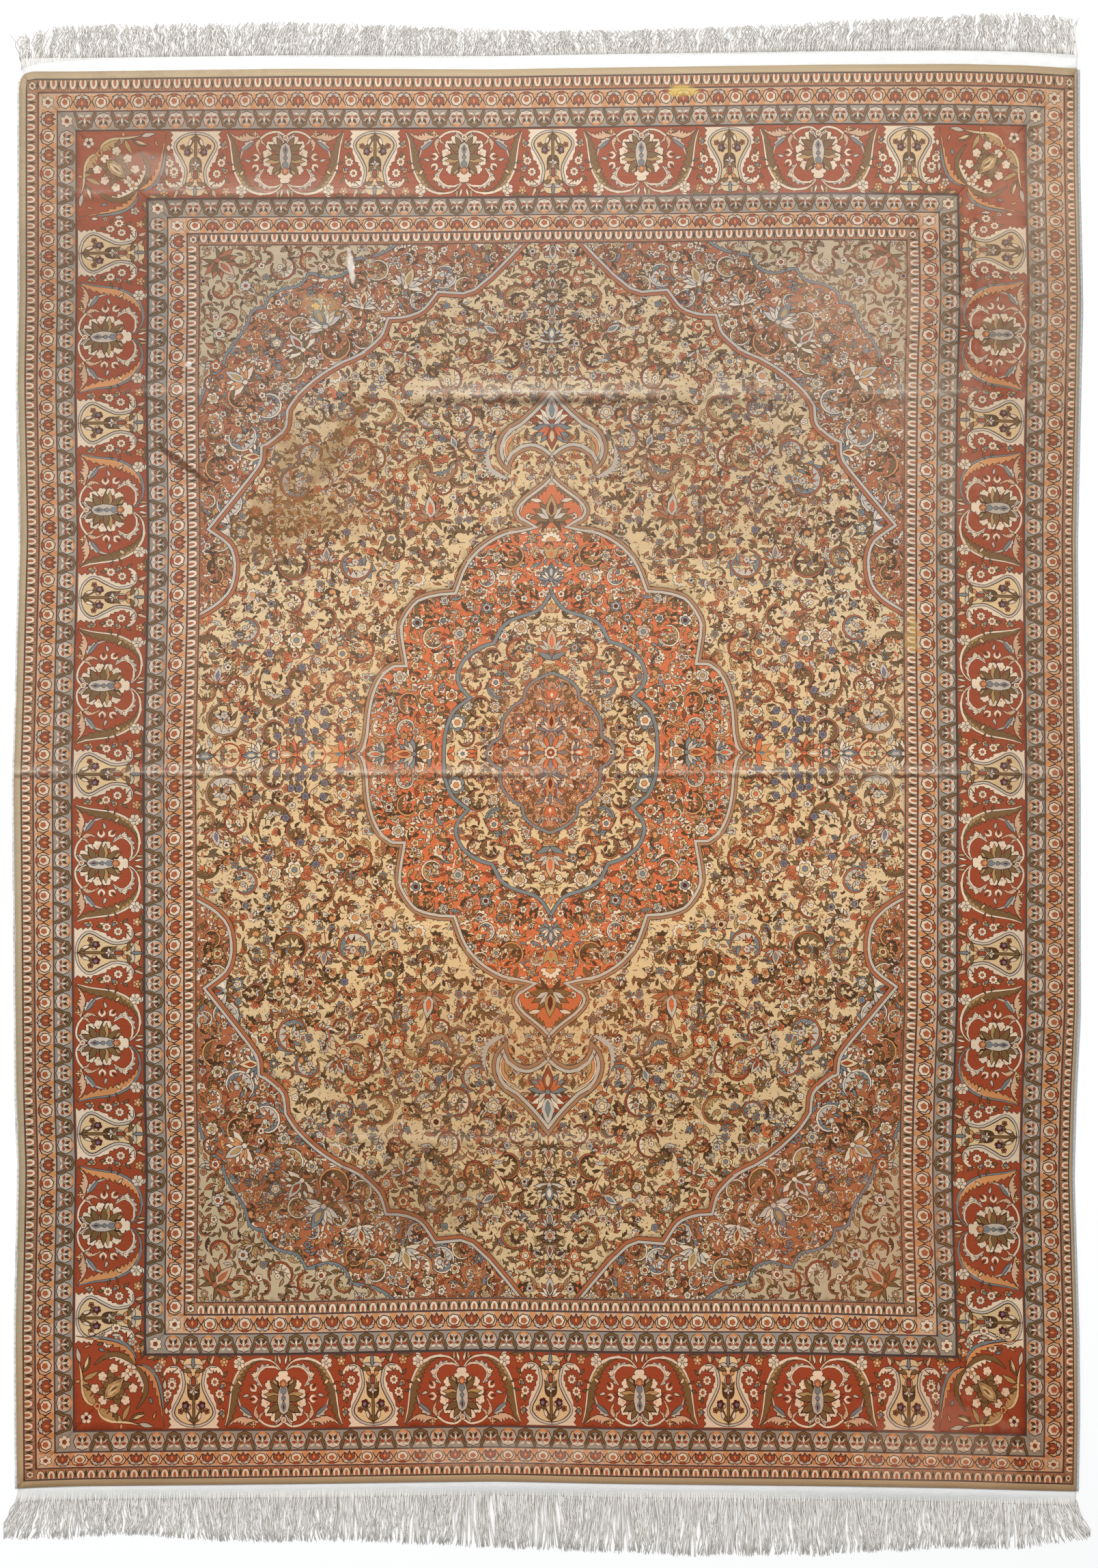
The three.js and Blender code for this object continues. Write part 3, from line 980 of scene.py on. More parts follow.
def bake_map(made: bpy.types.Object, shown: int) -> None:
    """A flat map of the first face corners over the whole square, the rest in its corner."""
    mesh = made.data
    where = np.empty(len(mesh.loops), dtype=np.int32)
    mesh.loops.foreach_get("vertex_index", where)
    points = np.empty(len(mesh.vertices) * 3, dtype=np.float32)
    mesh.vertices.foreach_get("co", points)
    flat = points.reshape(-1, 3)[where, :2]
    low, high = flat.min(axis=0), flat.max(axis=0)
    share = (flat - low) / (high - low)
    share[:shown] = MAP_SHOWN[0] + MAP_SHOWN[1] * share[:shown]
    share[shown:] = MAP_HIDDEN[0] + MAP_HIDDEN[1] * share[shown:]
    mesh.uv_layers.new(name="OFBake").data.foreach_set("uv", share.astype(np.float32).ravel())


def pile_slab(name: str, cloth: Cloth, patches: Patches, step: float = 40.0) -> bpy.types.Object:
    """A closed slab of pile: the drawn face, its rim, and a plain underside.

    Args:
        name: The piece's name.
        cloth: How the rug lies.
        patches: The drawn face.
        step: Spacing of the plain points of its underside.
    """
    face = patches.triangles
    rim = rim_edges(face)
    low, high = patches.points[face].min(axis=(0, 1)), patches.points[face].max(axis=(0, 1))
    rim_points, rim_index = np.unique(rim, return_inverse=True)
    rim_index = rim_index.reshape(-1, 2)
    net = [(x, y) for x in np.arange(low[0] + step / 2, high[0], step)
           for y in np.arange(low[1] + step / 2, high[1], step)]
    corners = [Vector(p) for p in patches.points[rim_points].tolist() + net]
    under = delaunay_2d_cdt(corners, rim_index.tolist(), [], 2, 1e-6, True)
    origin = [min(sources) if sources else -1 for sources in under[3]]
    below = np.array([tuple(v) for v in under[0]])
    count = len(patches.points)
    points = np.concatenate([
        cloth.points(patches.points[:, 0], patches.points[:, 1], PILE_TOP),
        cloth.points(below[:, 0], below[:, 1], BASE_TOP)])
    at_rim = np.full(len(rim_points), -1)
    for i, source in enumerate(origin):
        if 0 <= source < len(rim_points):
            at_rim[source] = i + count
    foot = at_rim[rim_index]
    walls = np.stack([foot[:, 0], foot[:, 1], rim[:, 1], rim[:, 0]], axis=1)
    walls = walls[(foot >= 0).all(axis=1)]
    soles = np.array(under[2])[:, ::-1] + count
    made = mesh_object(name, points, [face, walls, soles])
    shown = len(face) * 3
    hidden = len(made.data.loops) - shown
    ground = np.tile(TAN.dressed(0.8), (hidden, 1))
    corner_colours(made, "dye", np.concatenate([np.repeat(patches.colours, 3, axis=0), ground]))
    bake_map(made, shown)
    return made


# ---- Borders -------------------------------------------------------------------------------------
@dataclass(frozen=True)
class Edge:
    """One side of the rug: half its length, how far out it lies and which way it faces."""

    name: str
    half: float
    out: float
    turn: float

    def place(self) -> Place:
        """Its own measure: along the side from the middle, and inwards from the rug's edge."""
        c, s = math.cos(math.radians(self.turn)), math.sin(math.radians(self.turn))
        return Place().put(self.out * s, -self.out * c, turn=self.turn)

    def panel(self, start: float, end: float) -> Outline:
        """The mitred strip of this side between two depths."""
        shape = [(-self.half + start, start), (self.half - start, start),
                 (self.half - end, end), (-self.half + end, end)]
        return self.place().points(np.array(shape, dtype=float))


EDGES = (Edge("bottom", HALF_WIDTH, HALF_LENGTH, 0), Edge("right", HALF_LENGTH, HALF_WIDTH, 90),
         Edge("top", HALF_WIDTH, HALF_LENGTH, 180), Edge("left", HALF_LENGTH, HALF_WIDTH, 270))


def box_outline(left: float, low: float, right: float, high: float) -> Outline:
    """A plain rectangle."""
    return np.array([(left, low), (right, low), (right, high), (left, high)], dtype=float)


def inset(depth: float) -> Outline:
    """The rectangle that lies a depth in from the rug's edge all round."""
    return box_outline(depth - HALF_WIDTH, depth - HALF_LENGTH, HALF_WIDTH - depth, HALF_LENGTH - depth)


@dataclass
class GuardStripe:
    """A narrow border of one repeated motif between two lines.

    Attributes:
        start: How far in from the rug's edge it starts.
        width: Its width.
        period: The length of its repeat, before it is fitted to a side.
        ground: Its ground dye.
        line: The width of the line on its inner side.
    """

    start: float
    width: float
    period: float
    ground: Dye
    line: float = 2.6

    def draw(self, motifs: Motifs) -> None:
        """Draws the whole stripe: its ground, its repeats and its corners."""
        inside = self.start + self.width
        pen = motifs.pen
        for at, dye in ((self.start - 2.0, GUARD_LINE), (self.start, self.ground)):
            pen.lay(Place(), inset(at), dye, even=True)
        for edge in EDGES:
            length = 2 * (edge.half - inside)
            count = max(2 * round(length / self.period / 2), 2)
            step = length / count
            for i in range(count):
                place = edge.place().put(-length / 2 + (i + 0.5) * step, self.start)
                self.repeat(motifs, place, step, i % 2 == 1)
        for side in (-1, 1):
            for end in (-1, 1):
                corner = Place().put(side * (HALF_WIDTH - self.start), end * (HALF_LENGTH - self.start),
                                     flip=(side > 0) != (end > 0), turn=180 if end > 0 else 0)
                self.corner(motifs, corner)
        for at, dye in ((inside, GUARD_LINE), (inside + self.line, self.ground)):
            pen.lay(Place(), inset(at), dye, even=True)

    def repeat(self, motifs: Motifs, at: Place, step: float, odd: bool) -> None:
        """Draws one repeat, its middle at the stripe's outer line."""
        raise NotImplementedError

    def corner(self, motifs: Motifs, at: Place) -> None:
        """Draws the corner square, which grows inwards from the outer corner."""
        half = self.width / 2
        motifs.rosette(at.put(half, half), half * 0.7, IVORY, BRICK, 6)


@dataclass
class LoopStripe(GuardStripe):
    """Pale loops hanging side by side, with a dark spike between each two."""

    def repeat(self, motifs: Motifs, at: Place, step: float, odd: bool) -> None:
        """Draws one loop, the spike beside it and the small tooth at the inner rim."""
        pen, deep = motifs.pen, self.width
        half = step * 0.35
        loop = np.array([(-half * 0.86, 0.4), (-half, deep * 0.42), (-half * 0.5, deep * 0.78),
                         (half * 0.5, deep * 0.78), (half, deep * 0.42), (half * 0.86, 0.4)])
        pen.knot(at, loop, IVORY, 0.8)
        pen.lay(at, loop * (0.42, 0.74), SALMON)
        pen.lay(at.put(step / 2, 0.2), petal(deep * 0.92, 4.0, steps=1), DARK_OLIVE)
        pen.lay(at.put(0, deep), np.array([(-5.0, 0), (0, -deep * 0.24), (5.0, 0)]), COPPER)


@dataclass
class VineStripe(GuardStripe):
    """Rust tulips and pale shields in turn, between wedges of apricot and crossing dark vines."""

    def repeat(self, motifs: Motifs, at: Place, step: float, odd: bool) -> None:
        """Draws one flower and its stretch of vine."""
        pen, deep = motifs.pen, self.width
        middle, half = deep / 2, step / 2
        for flip in BOTH:
            side = at.put(flip=flip)
            pen.lay(side, np.array([(half, deep), (half, deep * 0.5), (half * 0.62, deep)]), APRICOT)
            vine = [(half * 0.1, 1.0), (half * 0.74, deep * 0.2), (half * 0.94, middle),
                    (half * 0.6, deep * 0.84)]
            pen.lay(side, ribbon(np.array(vine), [1.0, 2.2, 1.4]), LINE)
            pen.lay(side.put(half * 0.98, deep * 0.06), petal(deep * 0.4, 5.4, steps=1), APRICOT)
        if odd:
            pen.lay(at.put(y=middle + 1), disc(deep * 0.37, 7), LINE)
            pen.lay(at.put(y=middle + 1), disc(deep * 0.31, 7), IVORY)
            pen.lay(at.put(y=middle), disc(deep * 0.2, 5), COPPER)
            pen.lay(at.put(y=deep * 0.03), petal(deep * 0.26, deep * 0.5, steps=1), BRICK)
        else:
            crown = np.array([(-0.13, 0.3), (-0.3, 0.52), (-0.27, 0.82), (-0.12, 0.68), (0, 0.9),
                              (0.12, 0.68), (0.27, 0.82), (0.3, 0.52), (0.13, 0.3)])[::-1] * deep
            pen.knot(at, crown, BRICK, 1.2)
            pen.lay(at.put(y=deep * 0.42), petal(deep * 0.3, 3.4, steps=1), APRICOT)
            for flip in BOTH:
                pen.knot(at.put(flip=flip).put(0.6, deep * 0.14, turn=-62),
                         petal(deep * 0.42, 5.0, steps=1), PEARL, 0.8)


@dataclass
class RoundelStripe(GuardStripe):
    """Small bunches of flowers under brown arches and apricot crescents in turn."""

    def repeat(self, motifs: Motifs, at: Place, step: float, odd: bool) -> None:
        """Draws one arch or crescent with its flowers."""
        pen, deep = motifs.pen, self.width
        half = step / 2
        if odd:
            arch = np.array([(-half * 1.1, 1.0), (-half * 0.74, deep * 0.5), (-half * 0.62, deep * 0.8),
                             (0, deep * 0.93), (half * 0.62, deep * 0.8), (half * 0.74, deep * 0.5),
                             (half * 1.1, 1.0)])
            pen.knot(at, ribbon(arch, [2.6, 3.2, 3.2, 3.2, 2.6]), OLIVE, 1.0)
        else:
            pen.knot(at.put(y=deep * 0.5), disc(deep * 0.44, 8), PEARL, 1.2)
            bow = np.array([(-half * 0.62, deep * 0.5), (-half * 0.5, deep * 0.8), (0, deep * 0.92),
                            (half * 0.5, deep * 0.8), (half * 0.62, deep * 0.5)])
            pen.lay(at, ribbon(bow, [1.4, 4.6, 1.4]), APRICOT)
        for flip in BOTH:
            side = at.put(y=deep * 0.4, flip=flip)
            pen.lay(side.put(0.8, -1.0, turn=-84), petal(deep * 0.32, 5.6, steps=1), BRICK)
            pen.lay(side.put(0.4, -3.6, turn=-110), petal(deep * 0.32, 3.2, steps=1), IVORY)
            pen.lay(side.put(1.0, 1.0, turn=-58), petal(deep * 0.36, 3.4, steps=1), PEARL)
            pen.lay(side.put(0.8, 0.6, turn=-26), petal(deep * 0.42, 5.6, steps=1), DARK_OLIVE)
        pen.knot(at.put(y=deep * 0.3), petal(deep * 0.44, 3.6, steps=1), IVORY, 0.7)


@dataclass
class Border:
    """A border round the rug, cut into one slab a side.

    Attributes:
        name: The first part of its pieces' names.
        start: How far in from the rug's edge it starts.
        end: How far in it ends.
        drawing: Its whole drawing.
    """

    name: str
    start: float
    end: float
    drawing: Drawing

    def build(self, cloth: Cloth) -> list[bpy.types.Object]:
        """Builds a slab for each side."""
        made = []
        for edge in EDGES:
            panel = edge.panel(self.start, self.end)
            patches = Cutter(self.drawing.shapes, [panel]).cut()
            piece = pile_slab(f"{self.name}_{edge.name}", cloth, patches.part(patches.regions[0]))
            log.info("%s: %d triangles", piece.name, len(patches.triangles))
            made.append(piece)
        return made


def outer_guards() -> Border:
    """The plain gold band and the three narrow borders outside the main one."""
    pen = Drawing(11)
    motifs = Motifs(pen)
    pen.lay(Place(), inset(-9.0), GOLD, even=True)
    LoopStripe(15.0, 15.0, 14.6, TAN).draw(motifs)
    VineStripe(32.4, 23.8, 26.0, PEACH).draw(motifs)
    RoundelStripe(58.6, 27.0, 26.0, ASH).draw(motifs)
    return Border("outer_guards", 0, GUARDS_IN, pen)


def inner_guards() -> Border:
    """The same three narrow borders in mirror order, between the main border and the field."""
    pen = Drawing(12)
    motifs = Motifs(pen)
    RoundelStripe(187.2, 26.6, 26.0, ASH).draw(motifs)
    VineStripe(216.0, 26.0, 26.0, PEACH).draw(motifs)
    LoopStripe(244.4, 15.4, 14.6, TAN, 1.8).draw(motifs)
    return Border("inner_guards", MAIN_IN, FIELD_IN, pen)


@dataclass
class MainBorder:
    """The broad rust border of keyhole cartouches and palmettes under leaf arches."""

    depth: float = MAIN_IN - GUARDS_IN
    spacing: float = 261.0
    last: dict[str, int] = field(default_factory=lambda: {"bottom": 2, "top": 2, "left": 3, "right": 3})
    drop: dict[str, float] = field(default_factory=lambda: {"left": 16.0, "right": -18.5})

    def border(self) -> Border:
        """Draws the whole border."""
        pen = Drawing(21)
        motifs = Motifs(pen)
        at = GUARDS_IN
        pen.lay(Place(), inset(0.0), RUST, even=True)
        for edge in EDGES:
            reach = self.last[edge.name]
            step = (edge.half - 255.0) / reach
            for i in range(-reach, reach):
                fiery = [edge.name in self.drop and abs(i + 0.5) + 0.5 * flip * np.sign(i + 0.5) > 1.5
                         for flip in (1, -1)]
                self.bay(motifs, edge.place().put((i + 0.5) * step + self.drop.get(edge.name, 0), at),
                         step / self.spacing, fiery)
            for i in range(-reach, reach + 1):
                self.cartouche(motifs, edge.place().put(i * step + self.drop.get(edge.name, 0), at))
        for side in (-1, 1):
            for end in (-1, 1):
                x, y = side * (HALF_WIDTH - at), end * (HALF_LENGTH - at)
                corner = Place(-side, 0, 0, -end, x, y)
                self.corner(motifs, corner)
        pen.lay(Place(), inset(MAIN_IN - 1.6), GUARD_LINE, even=True)
        return Border("main_border", GUARDS_IN, MAIN_IN, pen)

    @staticmethod
    def both_sides(half: Sequence[tuple[float, float]]) -> Outline:
        """A closed outline from its right half, read from the rug's edge inwards."""
        right = np.array(half, dtype=float)
        return np.concatenate([right, right[::-1] * (-1, 1)])

    def cartouche(self, motifs: Motifs, at: Place) -> None:
        """A keyhole frame with a spray of flowers in it."""
        pen = motifs.pen
        rim = [(37, 1.6), (32.5, 6), (36.5, 11), (33, 13.5), (36.5, 18), (34, 20.5), (38, 24), (32.5, 27),
               (32.5, 33), (30, 38), (28.5, 45), (24, 46.5), (24, 51), (21, 52), (21.6, 57), (19, 60),
               (19, 66), (23, 69), (20, 73), (29, 73), (24, 78), (20, 80), (16, 74)]
        for flip in BOTH:
            side = at.put(flip=flip)
            motifs.fern(side, [(20, 80), (30, 83), (39, 79), (43.5, 72), (44.5, 63)], -9, 5, 0.5, 0.6, IVORY)
            motifs.leaves(side, (26, 84, -8, 12, 4.6, PEACH, 3), (23, 86, 4, 10, 3.4, OLIVE, 0),
                          (10, 83, -40, 12, 5.4, PEACH, 2), (44, 68, -30, 8, 3.6, OLIVE, 1))
        pen.knot(at, self.both_sides(rim), IVORY)
        frame = [(0, 4.4), (9, 5), (18, 8), (24.5, 12.5), (29, 18), (30, 23), (28, 29), (23.5, 36),
                 (18, 46), (14.6, 53), (13.6, 61), (14.8, 69), (16.6, 75), (20, 79.4), (25.6, 82),
                 (33, 81.4)]
        body = [(0, 6.6), (9, 7.2), (16.6, 10), (22, 14), (26, 18.6), (27, 23), (25.4, 28), (21, 34.6),
                (15.4, 45), (12, 52.6), (11, 61), (12, 69), (13.6, 76), (14, 86), (9, 91.6), (0, 93)]
        for flip in BOTH:
            rail = ribbon(np.array(frame, dtype=float), [2.6, 2.6, 2.6, 2.6, 1.2])
            pen.knot(at.put(flip=flip), rail, PEARL, 0.9)
        pen.knot(at, self.both_sides(body), CREAM)
        for flip in BOTH:
            side = at.put(flip=flip)
            motifs.leaves(side, (0.6, 8, -42, 22, 5.2, OLIVE, -6), (1, 38, -44, 15, 5.0, DARK_OLIVE, -4),
                          (7, 12, -4, 11, 4.4, IVORY, 3), (11, 22, -30, 10, 4.0, OLIVE, -2),
                          (2, 50, -52, 11, 4.6, OLIVE, -3), (2.4, 57, -14, 9, 4.6, PEARL, -1),
                          (2, 68, -58, 12, 5.2, APRICOT, -5), (3, 74, -62, 13, 4.8, OLIVE, 4),
                          (1, 80, -62, 12, 4.6, PEARL, 3))
            motifs.rosette(side.put(11.6, 31.4), 5.2, MAROON, VIOLET, 5)
            pen.lay(side.put(12.4, 30.6), disc(2.8, 5), VIOLET)
            motifs.rosette(side.put(19, 23.6), 3.8, SALMON, MAROON, 5)
            motifs.leaf(side.put(7, 26, turn=20), 6, 3.4, PEACH)
            motifs.rosette(side.put(31, 61.6), 6.0, IVORY, COPPER, 8)
            motifs.rosette(side.put(37.5, 46), 6.0, IVORY, COPPER, 8)
            motifs.leaf(side.put(38, 39, turn=184), 6.5, 4, OLIVE)
            motifs.leaves(side, (38, 94, -106, 20, 5.4, OLIVE, -5), (47, 46, -70, 7, 3, OLIVE, 0),
                          (50, 60, -110, 8, 2.4, BRICK, 0))
            motifs.blossom(side.put(45, 87), 6.4, APRICOT, IVORY, 5)
        pen.knot(at, ribbon(np.array([(0, 10), (0, 20), (0, 47)], dtype=float), [2.6, 3.4, 3.4]), OLIVE)
        motifs.leaves(at, (-7, 48.4, -90, 14, 4.4, PEARL, 0), (0, 53, 0, 6, 3.6, IVORY, 0),
                      (0, 79, 0, 17, 4.4, BLUE, 0))
        motifs.leaf(at.put(y=56), 13, 6.4, BRICK)
        motifs.leaf(at.put(y=44), 5, 3, IVORY)

    def bay(self, motifs: Motifs, at: Place, stretch: float, fiery: Sequence[bool]) -> None:
        """A palmette inside an arch of two long saw-toothed leaves, each olive or apricot."""
        pen = motifs.pen
        for flip in BOTH:
            side = at.put(flip=flip)
            blade, vein, rib = ((APRICOT, PEACH, BLUE) if fiery[int(flip)]
                                else (OLIVE, STRAW, IVORY))
            arch = spline([(85, 5), (81, 17), (78, 35), (75.6, 53), (68, 70.5), (58.7, 81), (45, 89),
                           (28.7, 91), (13.7, 87.3), (3.7, 77)], 3) * (stretch, 1)
            pen.knot(side, frond(arch, 15, 17, 0.66, 0.16), blade)
            pen.lay(side, frond(arch[8:-5], 6.4, 9, 0.5, 0.2), vein)
            pen.knot(side, ribbon(arch, [0.8, 2.2, 3.0, 2.8, 1.4]), rib, 0.7)
            motifs.feather(side, [(31, 55), (37.5, 66), (33.7, 75), (24, 80.6), (11, 80), (3.7, 75)], -8, 9,
                           PEARL, IVORY)
            motifs.fern(side, [(36, 10), (50, 14), (63, 16), (74, 11), (83, 2.5)], -12, 8, 0.5, 0.4, PEACH)
            motifs.fern(side, [(36, 11), (43, 18), (42, 27), (34, 37)], 7, 5, 0.55, 0.5, PEACH)
            motifs.fern(side, [(33, 9), (33.5, 16), (25, 26)], -5, 3, 0.55, 0.5, PEACH)
            foot = spline([(1, 9), (8, 4.4), (17, 3.4), (28, 6.6), (37, 13)], 2)
            pen.knot(side, ribbon(foot, 2.6), IVORY, 0.7)
            motifs.fern(side, [(45, 16), (54, 22), (62, 31), (66, 42)], -7, 5, 0.55, 0.4, PEARL)
            motifs.leaves(side, (46, 17, -48, 24, 4.4, BLUE, 3), (58, 91, -60, 11, 4, IVORY, 0),
                          (1, 21, -136, 19, 6.4, PEARL, 3), (10, 86, -12, 11, 3.6, STRAW, -2),
                          (4, 84, -2, 12, 3.2, IVORY, 2), (26, 40, -60, 12, 1.6, BRICK, 0),
                          (24, 42, -96, 12, 1.6, BRICK, 0), (50, 44, -86, 9, 4.0, PEARL, 3),
                          (52, 7, 96, 12, 4.0, OLIVE, 1), (88, 14, 8, 11, 4.2, STRAW, 1),
                          (60, 58, -50, 8, 3.6, CREAM, 0))
            for x, y in ((13, 15), (22, 22.5), (26.5, 34), (26, 46), (20, 57)):
                pen.knot(side.put(x, y), scallops(6.6, 5, 0.24, 1.0, x * 0.1), IVORY, 0.8)
                pen.lay(side.put(x * 0.9, y), disc(2.2, 5), PEACH)
            motifs.leaves(side, (3, 34, -112, 24, 7.0, STRAW, 4), (3, 42, -76, 25, 7.0, STRAW, 3),
                          (3, 48, -40, 21, 6.4, STRAW, -2), (3, 27, -140, 18, 8.0, OLIVE, 3),
                          (4, 30, -104, 20, 8.6, OLIVE, 4), (4, 38, -78, 22, 8.6, OLIVE, 4),
                          (4, 46, -52, 21, 8.0, OLIVE, -3), (3, 52, -24, 15, 6.0, DARK_OLIVE, -2))
            for x, y, turn in ((42, 52, 48), (41, 39, -84)):
                cup = side.put(x, y, turn=-40 if turn == 48 else -92)
                pen.knot(cup.put(y=-4), petal(13, 11), IVORY, 0.7)
                pen.lay(cup.put(y=-1), petal(13, 6.6), RUST)
                pen.lay(cup.put(y=0), petal(10, 3.4, steps=1), DARK_OLIVE)
            motifs.tulip(side.put(40, 67, turn=-20), 8, IVORY, STRAW)
            motifs.blossom(side.put(63.5, 85), 8.6, IVORY, PEARL, 6)
            for y in (60, 27):
                motifs.bud(side.put((84, 88)[y < 40], y, turn=(-130, 200)[y < 40]), 10, BLUE, APRICOT)
            motifs.leaf(side.put(87, 36, turn=-18), 9, 4.2, CREAM)
            motifs.blossom(side.put(44, 6), 4.4, APRICOT, IVORY, 4)
        spindle = [(0, 18.6), (5.6, 22.6), (8.6, 33), (8.0, 44), (5, 54), (0, 60.5)]
        pen.knot(at, self.both_sides(spindle), PEARL)
        motifs.leaf(at.put(y=44), 12.5, 9.0, BLUE, 0, 0.7)
        pen.knot(at.put(y=40), disc(2.8, 6), BLUE, 0.7)
        motifs.leaf(at.put(y=22.6), 14, 7.0, BLUE, 0, 0.7)
        pen.lay(at.put(y=24), petal(9, 2.6, steps=1), MAROON)
        crown = [(5.4, 57), (6.4, 62), (11, 64), (10, 67.6), (6, 68.6), (7.6, 71.6), (4.4, 75.4)]
        pen.knot(at, self.both_sides(crown), IVORY)
        pen.knot(at.put(y=59), disc(5.0, 8), SALMON, 0.7)
        pen.lay(at.put(y=58), disc(3.0, 6), APRICOT)
        motifs.rosette(at.put(y=11.6), 4.4, IVORY, APRICOT, 5)

    def corner(self, motifs: Motifs, at: Place) -> None:
        """A round blossom within two pairs of curling leaves, alike on both sides of the diagonal."""
        pen = motifs.pen
        for swap in BOTH:
            side = at
            if swap:
                side = Place(at.xy, at.xx, at.yy, at.yx, at.x, at.y)
            rim = [(84, 84), (95, 82), (107, 74), (114, 60), (118, 44), (121, 24), (125, 3)]
            motifs.fern(side, rim, -9.5, 9, 0.45, 0.5, APRICOT)
            blue = spline([(92, 85), (104, 79), (114, 68), (120, 50), (123, 28)], 3)
            pen.knot(side, ribbon(blue, [1.0, 3.6, 4.2, 1.6]), BLUE, 0.8)
            hoop = spline([(83, 83), (92, 74), (98, 60), (96, 44), (85, 28)], 3)
            pen.knot(side, frond(hoop, -12.5, 7, 0.5, 0.5), IVORY, 0.8)
            pen.knot(side, ribbon(hoop, [2.0, 6.5, 6.5, 1.4]), OLIVE, 0.8)
            low = spline([(31, 30), (36, 18), (50, 11), (70, 10), (90, 6)], 3)
            pen.knot(side, frond(low, 16, 6, 0.4, 0.3), STRAW, 0.8)
            pen.knot(side, ribbon(low, [1.6, 3.4, 3.2, 1.0]), CREAM, 0.7)
            motifs.leaves(side, (66, 12, -16, 23, 6.0, STRAW, 4), (58, 12, 10, 15, 4.6, OLIVE, -3),
                          (76, 12, -52, 20, 6.4, OLIVE, 3), (80, 14, -64, 17, 4.0, CREAM, 2),
                          (88, 8, -106, 20, 5.6, PEARL, -2), (64, 8, 170, 7, 4.0, APRICOT, 0),
                          (108, 14, -20, 9, 3.0, APRICOT, 1), (106, 34, 20, 8, 4.6, BLUE, 0),
                          (100, 92, -70, 13, 4.0, STRAW, 2), (110, 90, -40, 11, 4.4, OLIVE, 2),
                          (126, 52, 10, 13, 4.6, PEARL, 2), (128, 20, 10, 9, 5.0, IVORY, 1))
            motifs.blossom(side.put(116, 80), 6.5, PEARL, APRICOT, 5)
            motifs.rosette(side.put(136, 58), 6.6, IVORY, BRICK, 8)
            motifs.rosette(side.put(128, 39), 3.6, IVORY, BRICK, 5)
        bloom = at.put(54, 54, turn=-45)
        for i in range(8):
            motifs.leaf(bloom.put(turn=45 * i + 22), 27 if i % 2 else 23, 11, OLIVE if i % 2 else TAN, 5)
        for i in range(8):
            spot = bloom.put(turn=45 * i).put(y=22 + 4 * (i % 2))
            pen.knot(spot, scallops(6.2, 5, 0.24), IVORY, 0.8)
            pen.lay(spot.put(y=-3.4), disc(2.2, 5), PEACH)
        pen.knot(bloom, scallops(15, 8, 0.3), OLIVE, 0.8)
        motifs.leaf(bloom.put(y=-19), 38, 16, STRAW)
        motifs.leaf(bloom.put(y=-14), 26, 9, CREAM, 0, 0.6)
        motifs.leaf(bloom.put(y=-6), 12, 3.4, OLIVE, 2, 0.4)
        motifs.blossom(bloom.put(y=33), 8, IVORY, APRICOT, 5)
        motifs.blossom(at.put(16, 16), 8, IVORY, MAROON, 5)
        motifs.rosette(at.put(31, 31), 5, APRICOT, BRICK, 5)


# ---- Field ---------------------------------------------------------------------------------------
def four_fold(path: Outline) -> Outline:
    """A closed outline from its upper right quarter, read from the top to the right."""
    low = path[::-1] * (1, -1)
    right = np.concatenate([path, low[1:]])
    return np.concatenate([right, (right[::-1] * (-1, 1))[1:-1]])


def two_fold(path: Outline) -> Outline:
    """A closed outline from its right half, read from the bottom to the top."""
    return np.concatenate([path, (path[::-1] * (-1, 1))[1:-1]])


def from_corner(path: Outline) -> Outline:
    """Points measured in from the field's upper right corner."""
    return np.array([FIELD_X, FIELD_Y]) - path


OLIVES = CurlDyes(COPPER, STRAW, OLIVE)
BROWNS = CurlDyes(COPPER, OLIVE, DARK_OLIVE)
BLUES = CurlDyes(COPPER, PEARL, BLUE)
IVORIES = CurlDyes(BRICK, IVORY, TAN)
ORANGES = CurlDyes(BRICK, APRICOT, COPPER)
GREENS = CurlDyes(OLIVE, CREAM, OLIVE)
FADED = CurlDyes(TAN, PEARL, OLIVE)
ON_RED = CurlDyes(IVORY, STRAW, OLIVE)
PALE_ON_RED = CurlDyes(APRICOT, IVORY, PEARL)
BLUE_ON_RED = CurlDyes(IVORY, PEARL, BLUE)
DARK_ON_RED = CurlDyes(APRICOT, OLIVE, DARK_OLIVE)


@dataclass(frozen=True)
class Palette:
    """The dyes that a region's small motifs are taken from."""

    leaves: tuple[Dye, ...]
    petals: tuple[Dye, ...]
    hearts: tuple[Dye, ...]
    stems: tuple[Dye, ...]
    curls: tuple[CurlDyes, ...]


ON_CREAM = Palette(
    (OLIVE, OLIVE, DARK_OLIVE, OLIVE, COPPER, COPPER, PEARL, TAN, STRAW),
    (PEARL, PEARL, PEACH, COPPER, IVORY, APRICOT, TAN, BLUE),
    (BRICK, COPPER, BLUE, IVORY, MAROON), (COPPER, COPPER, BRICK, OLIVE),
    (OLIVES, BROWNS, OLIVES, ORANGES, IVORIES, GREENS, FADED, BLUES))
ON_CORAL = Palette(
    (OLIVE, DARK_OLIVE, IVORY, STRAW, BRICK, APRICOT, BLUE),
    (IVORY, IVORY, PEARL, APRICOT, CREAM, BLUE),
    (BRICK, MAROON, BLUE, STRAW), (OLIVE, STRAW, DARK_OLIVE),
    (ON_RED, PALE_ON_RED, BLUE_ON_RED, DARK_ON_RED))
ON_ROSE = Palette(
    (OLIVE, BLUE, IVORY, CORAL, BRICK), (IVORY, APRICOT, BLUE, CORAL),
    (MAROON, BRICK, IVORY), (OLIVE, BRICK), (ON_RED, DARK_ON_RED))

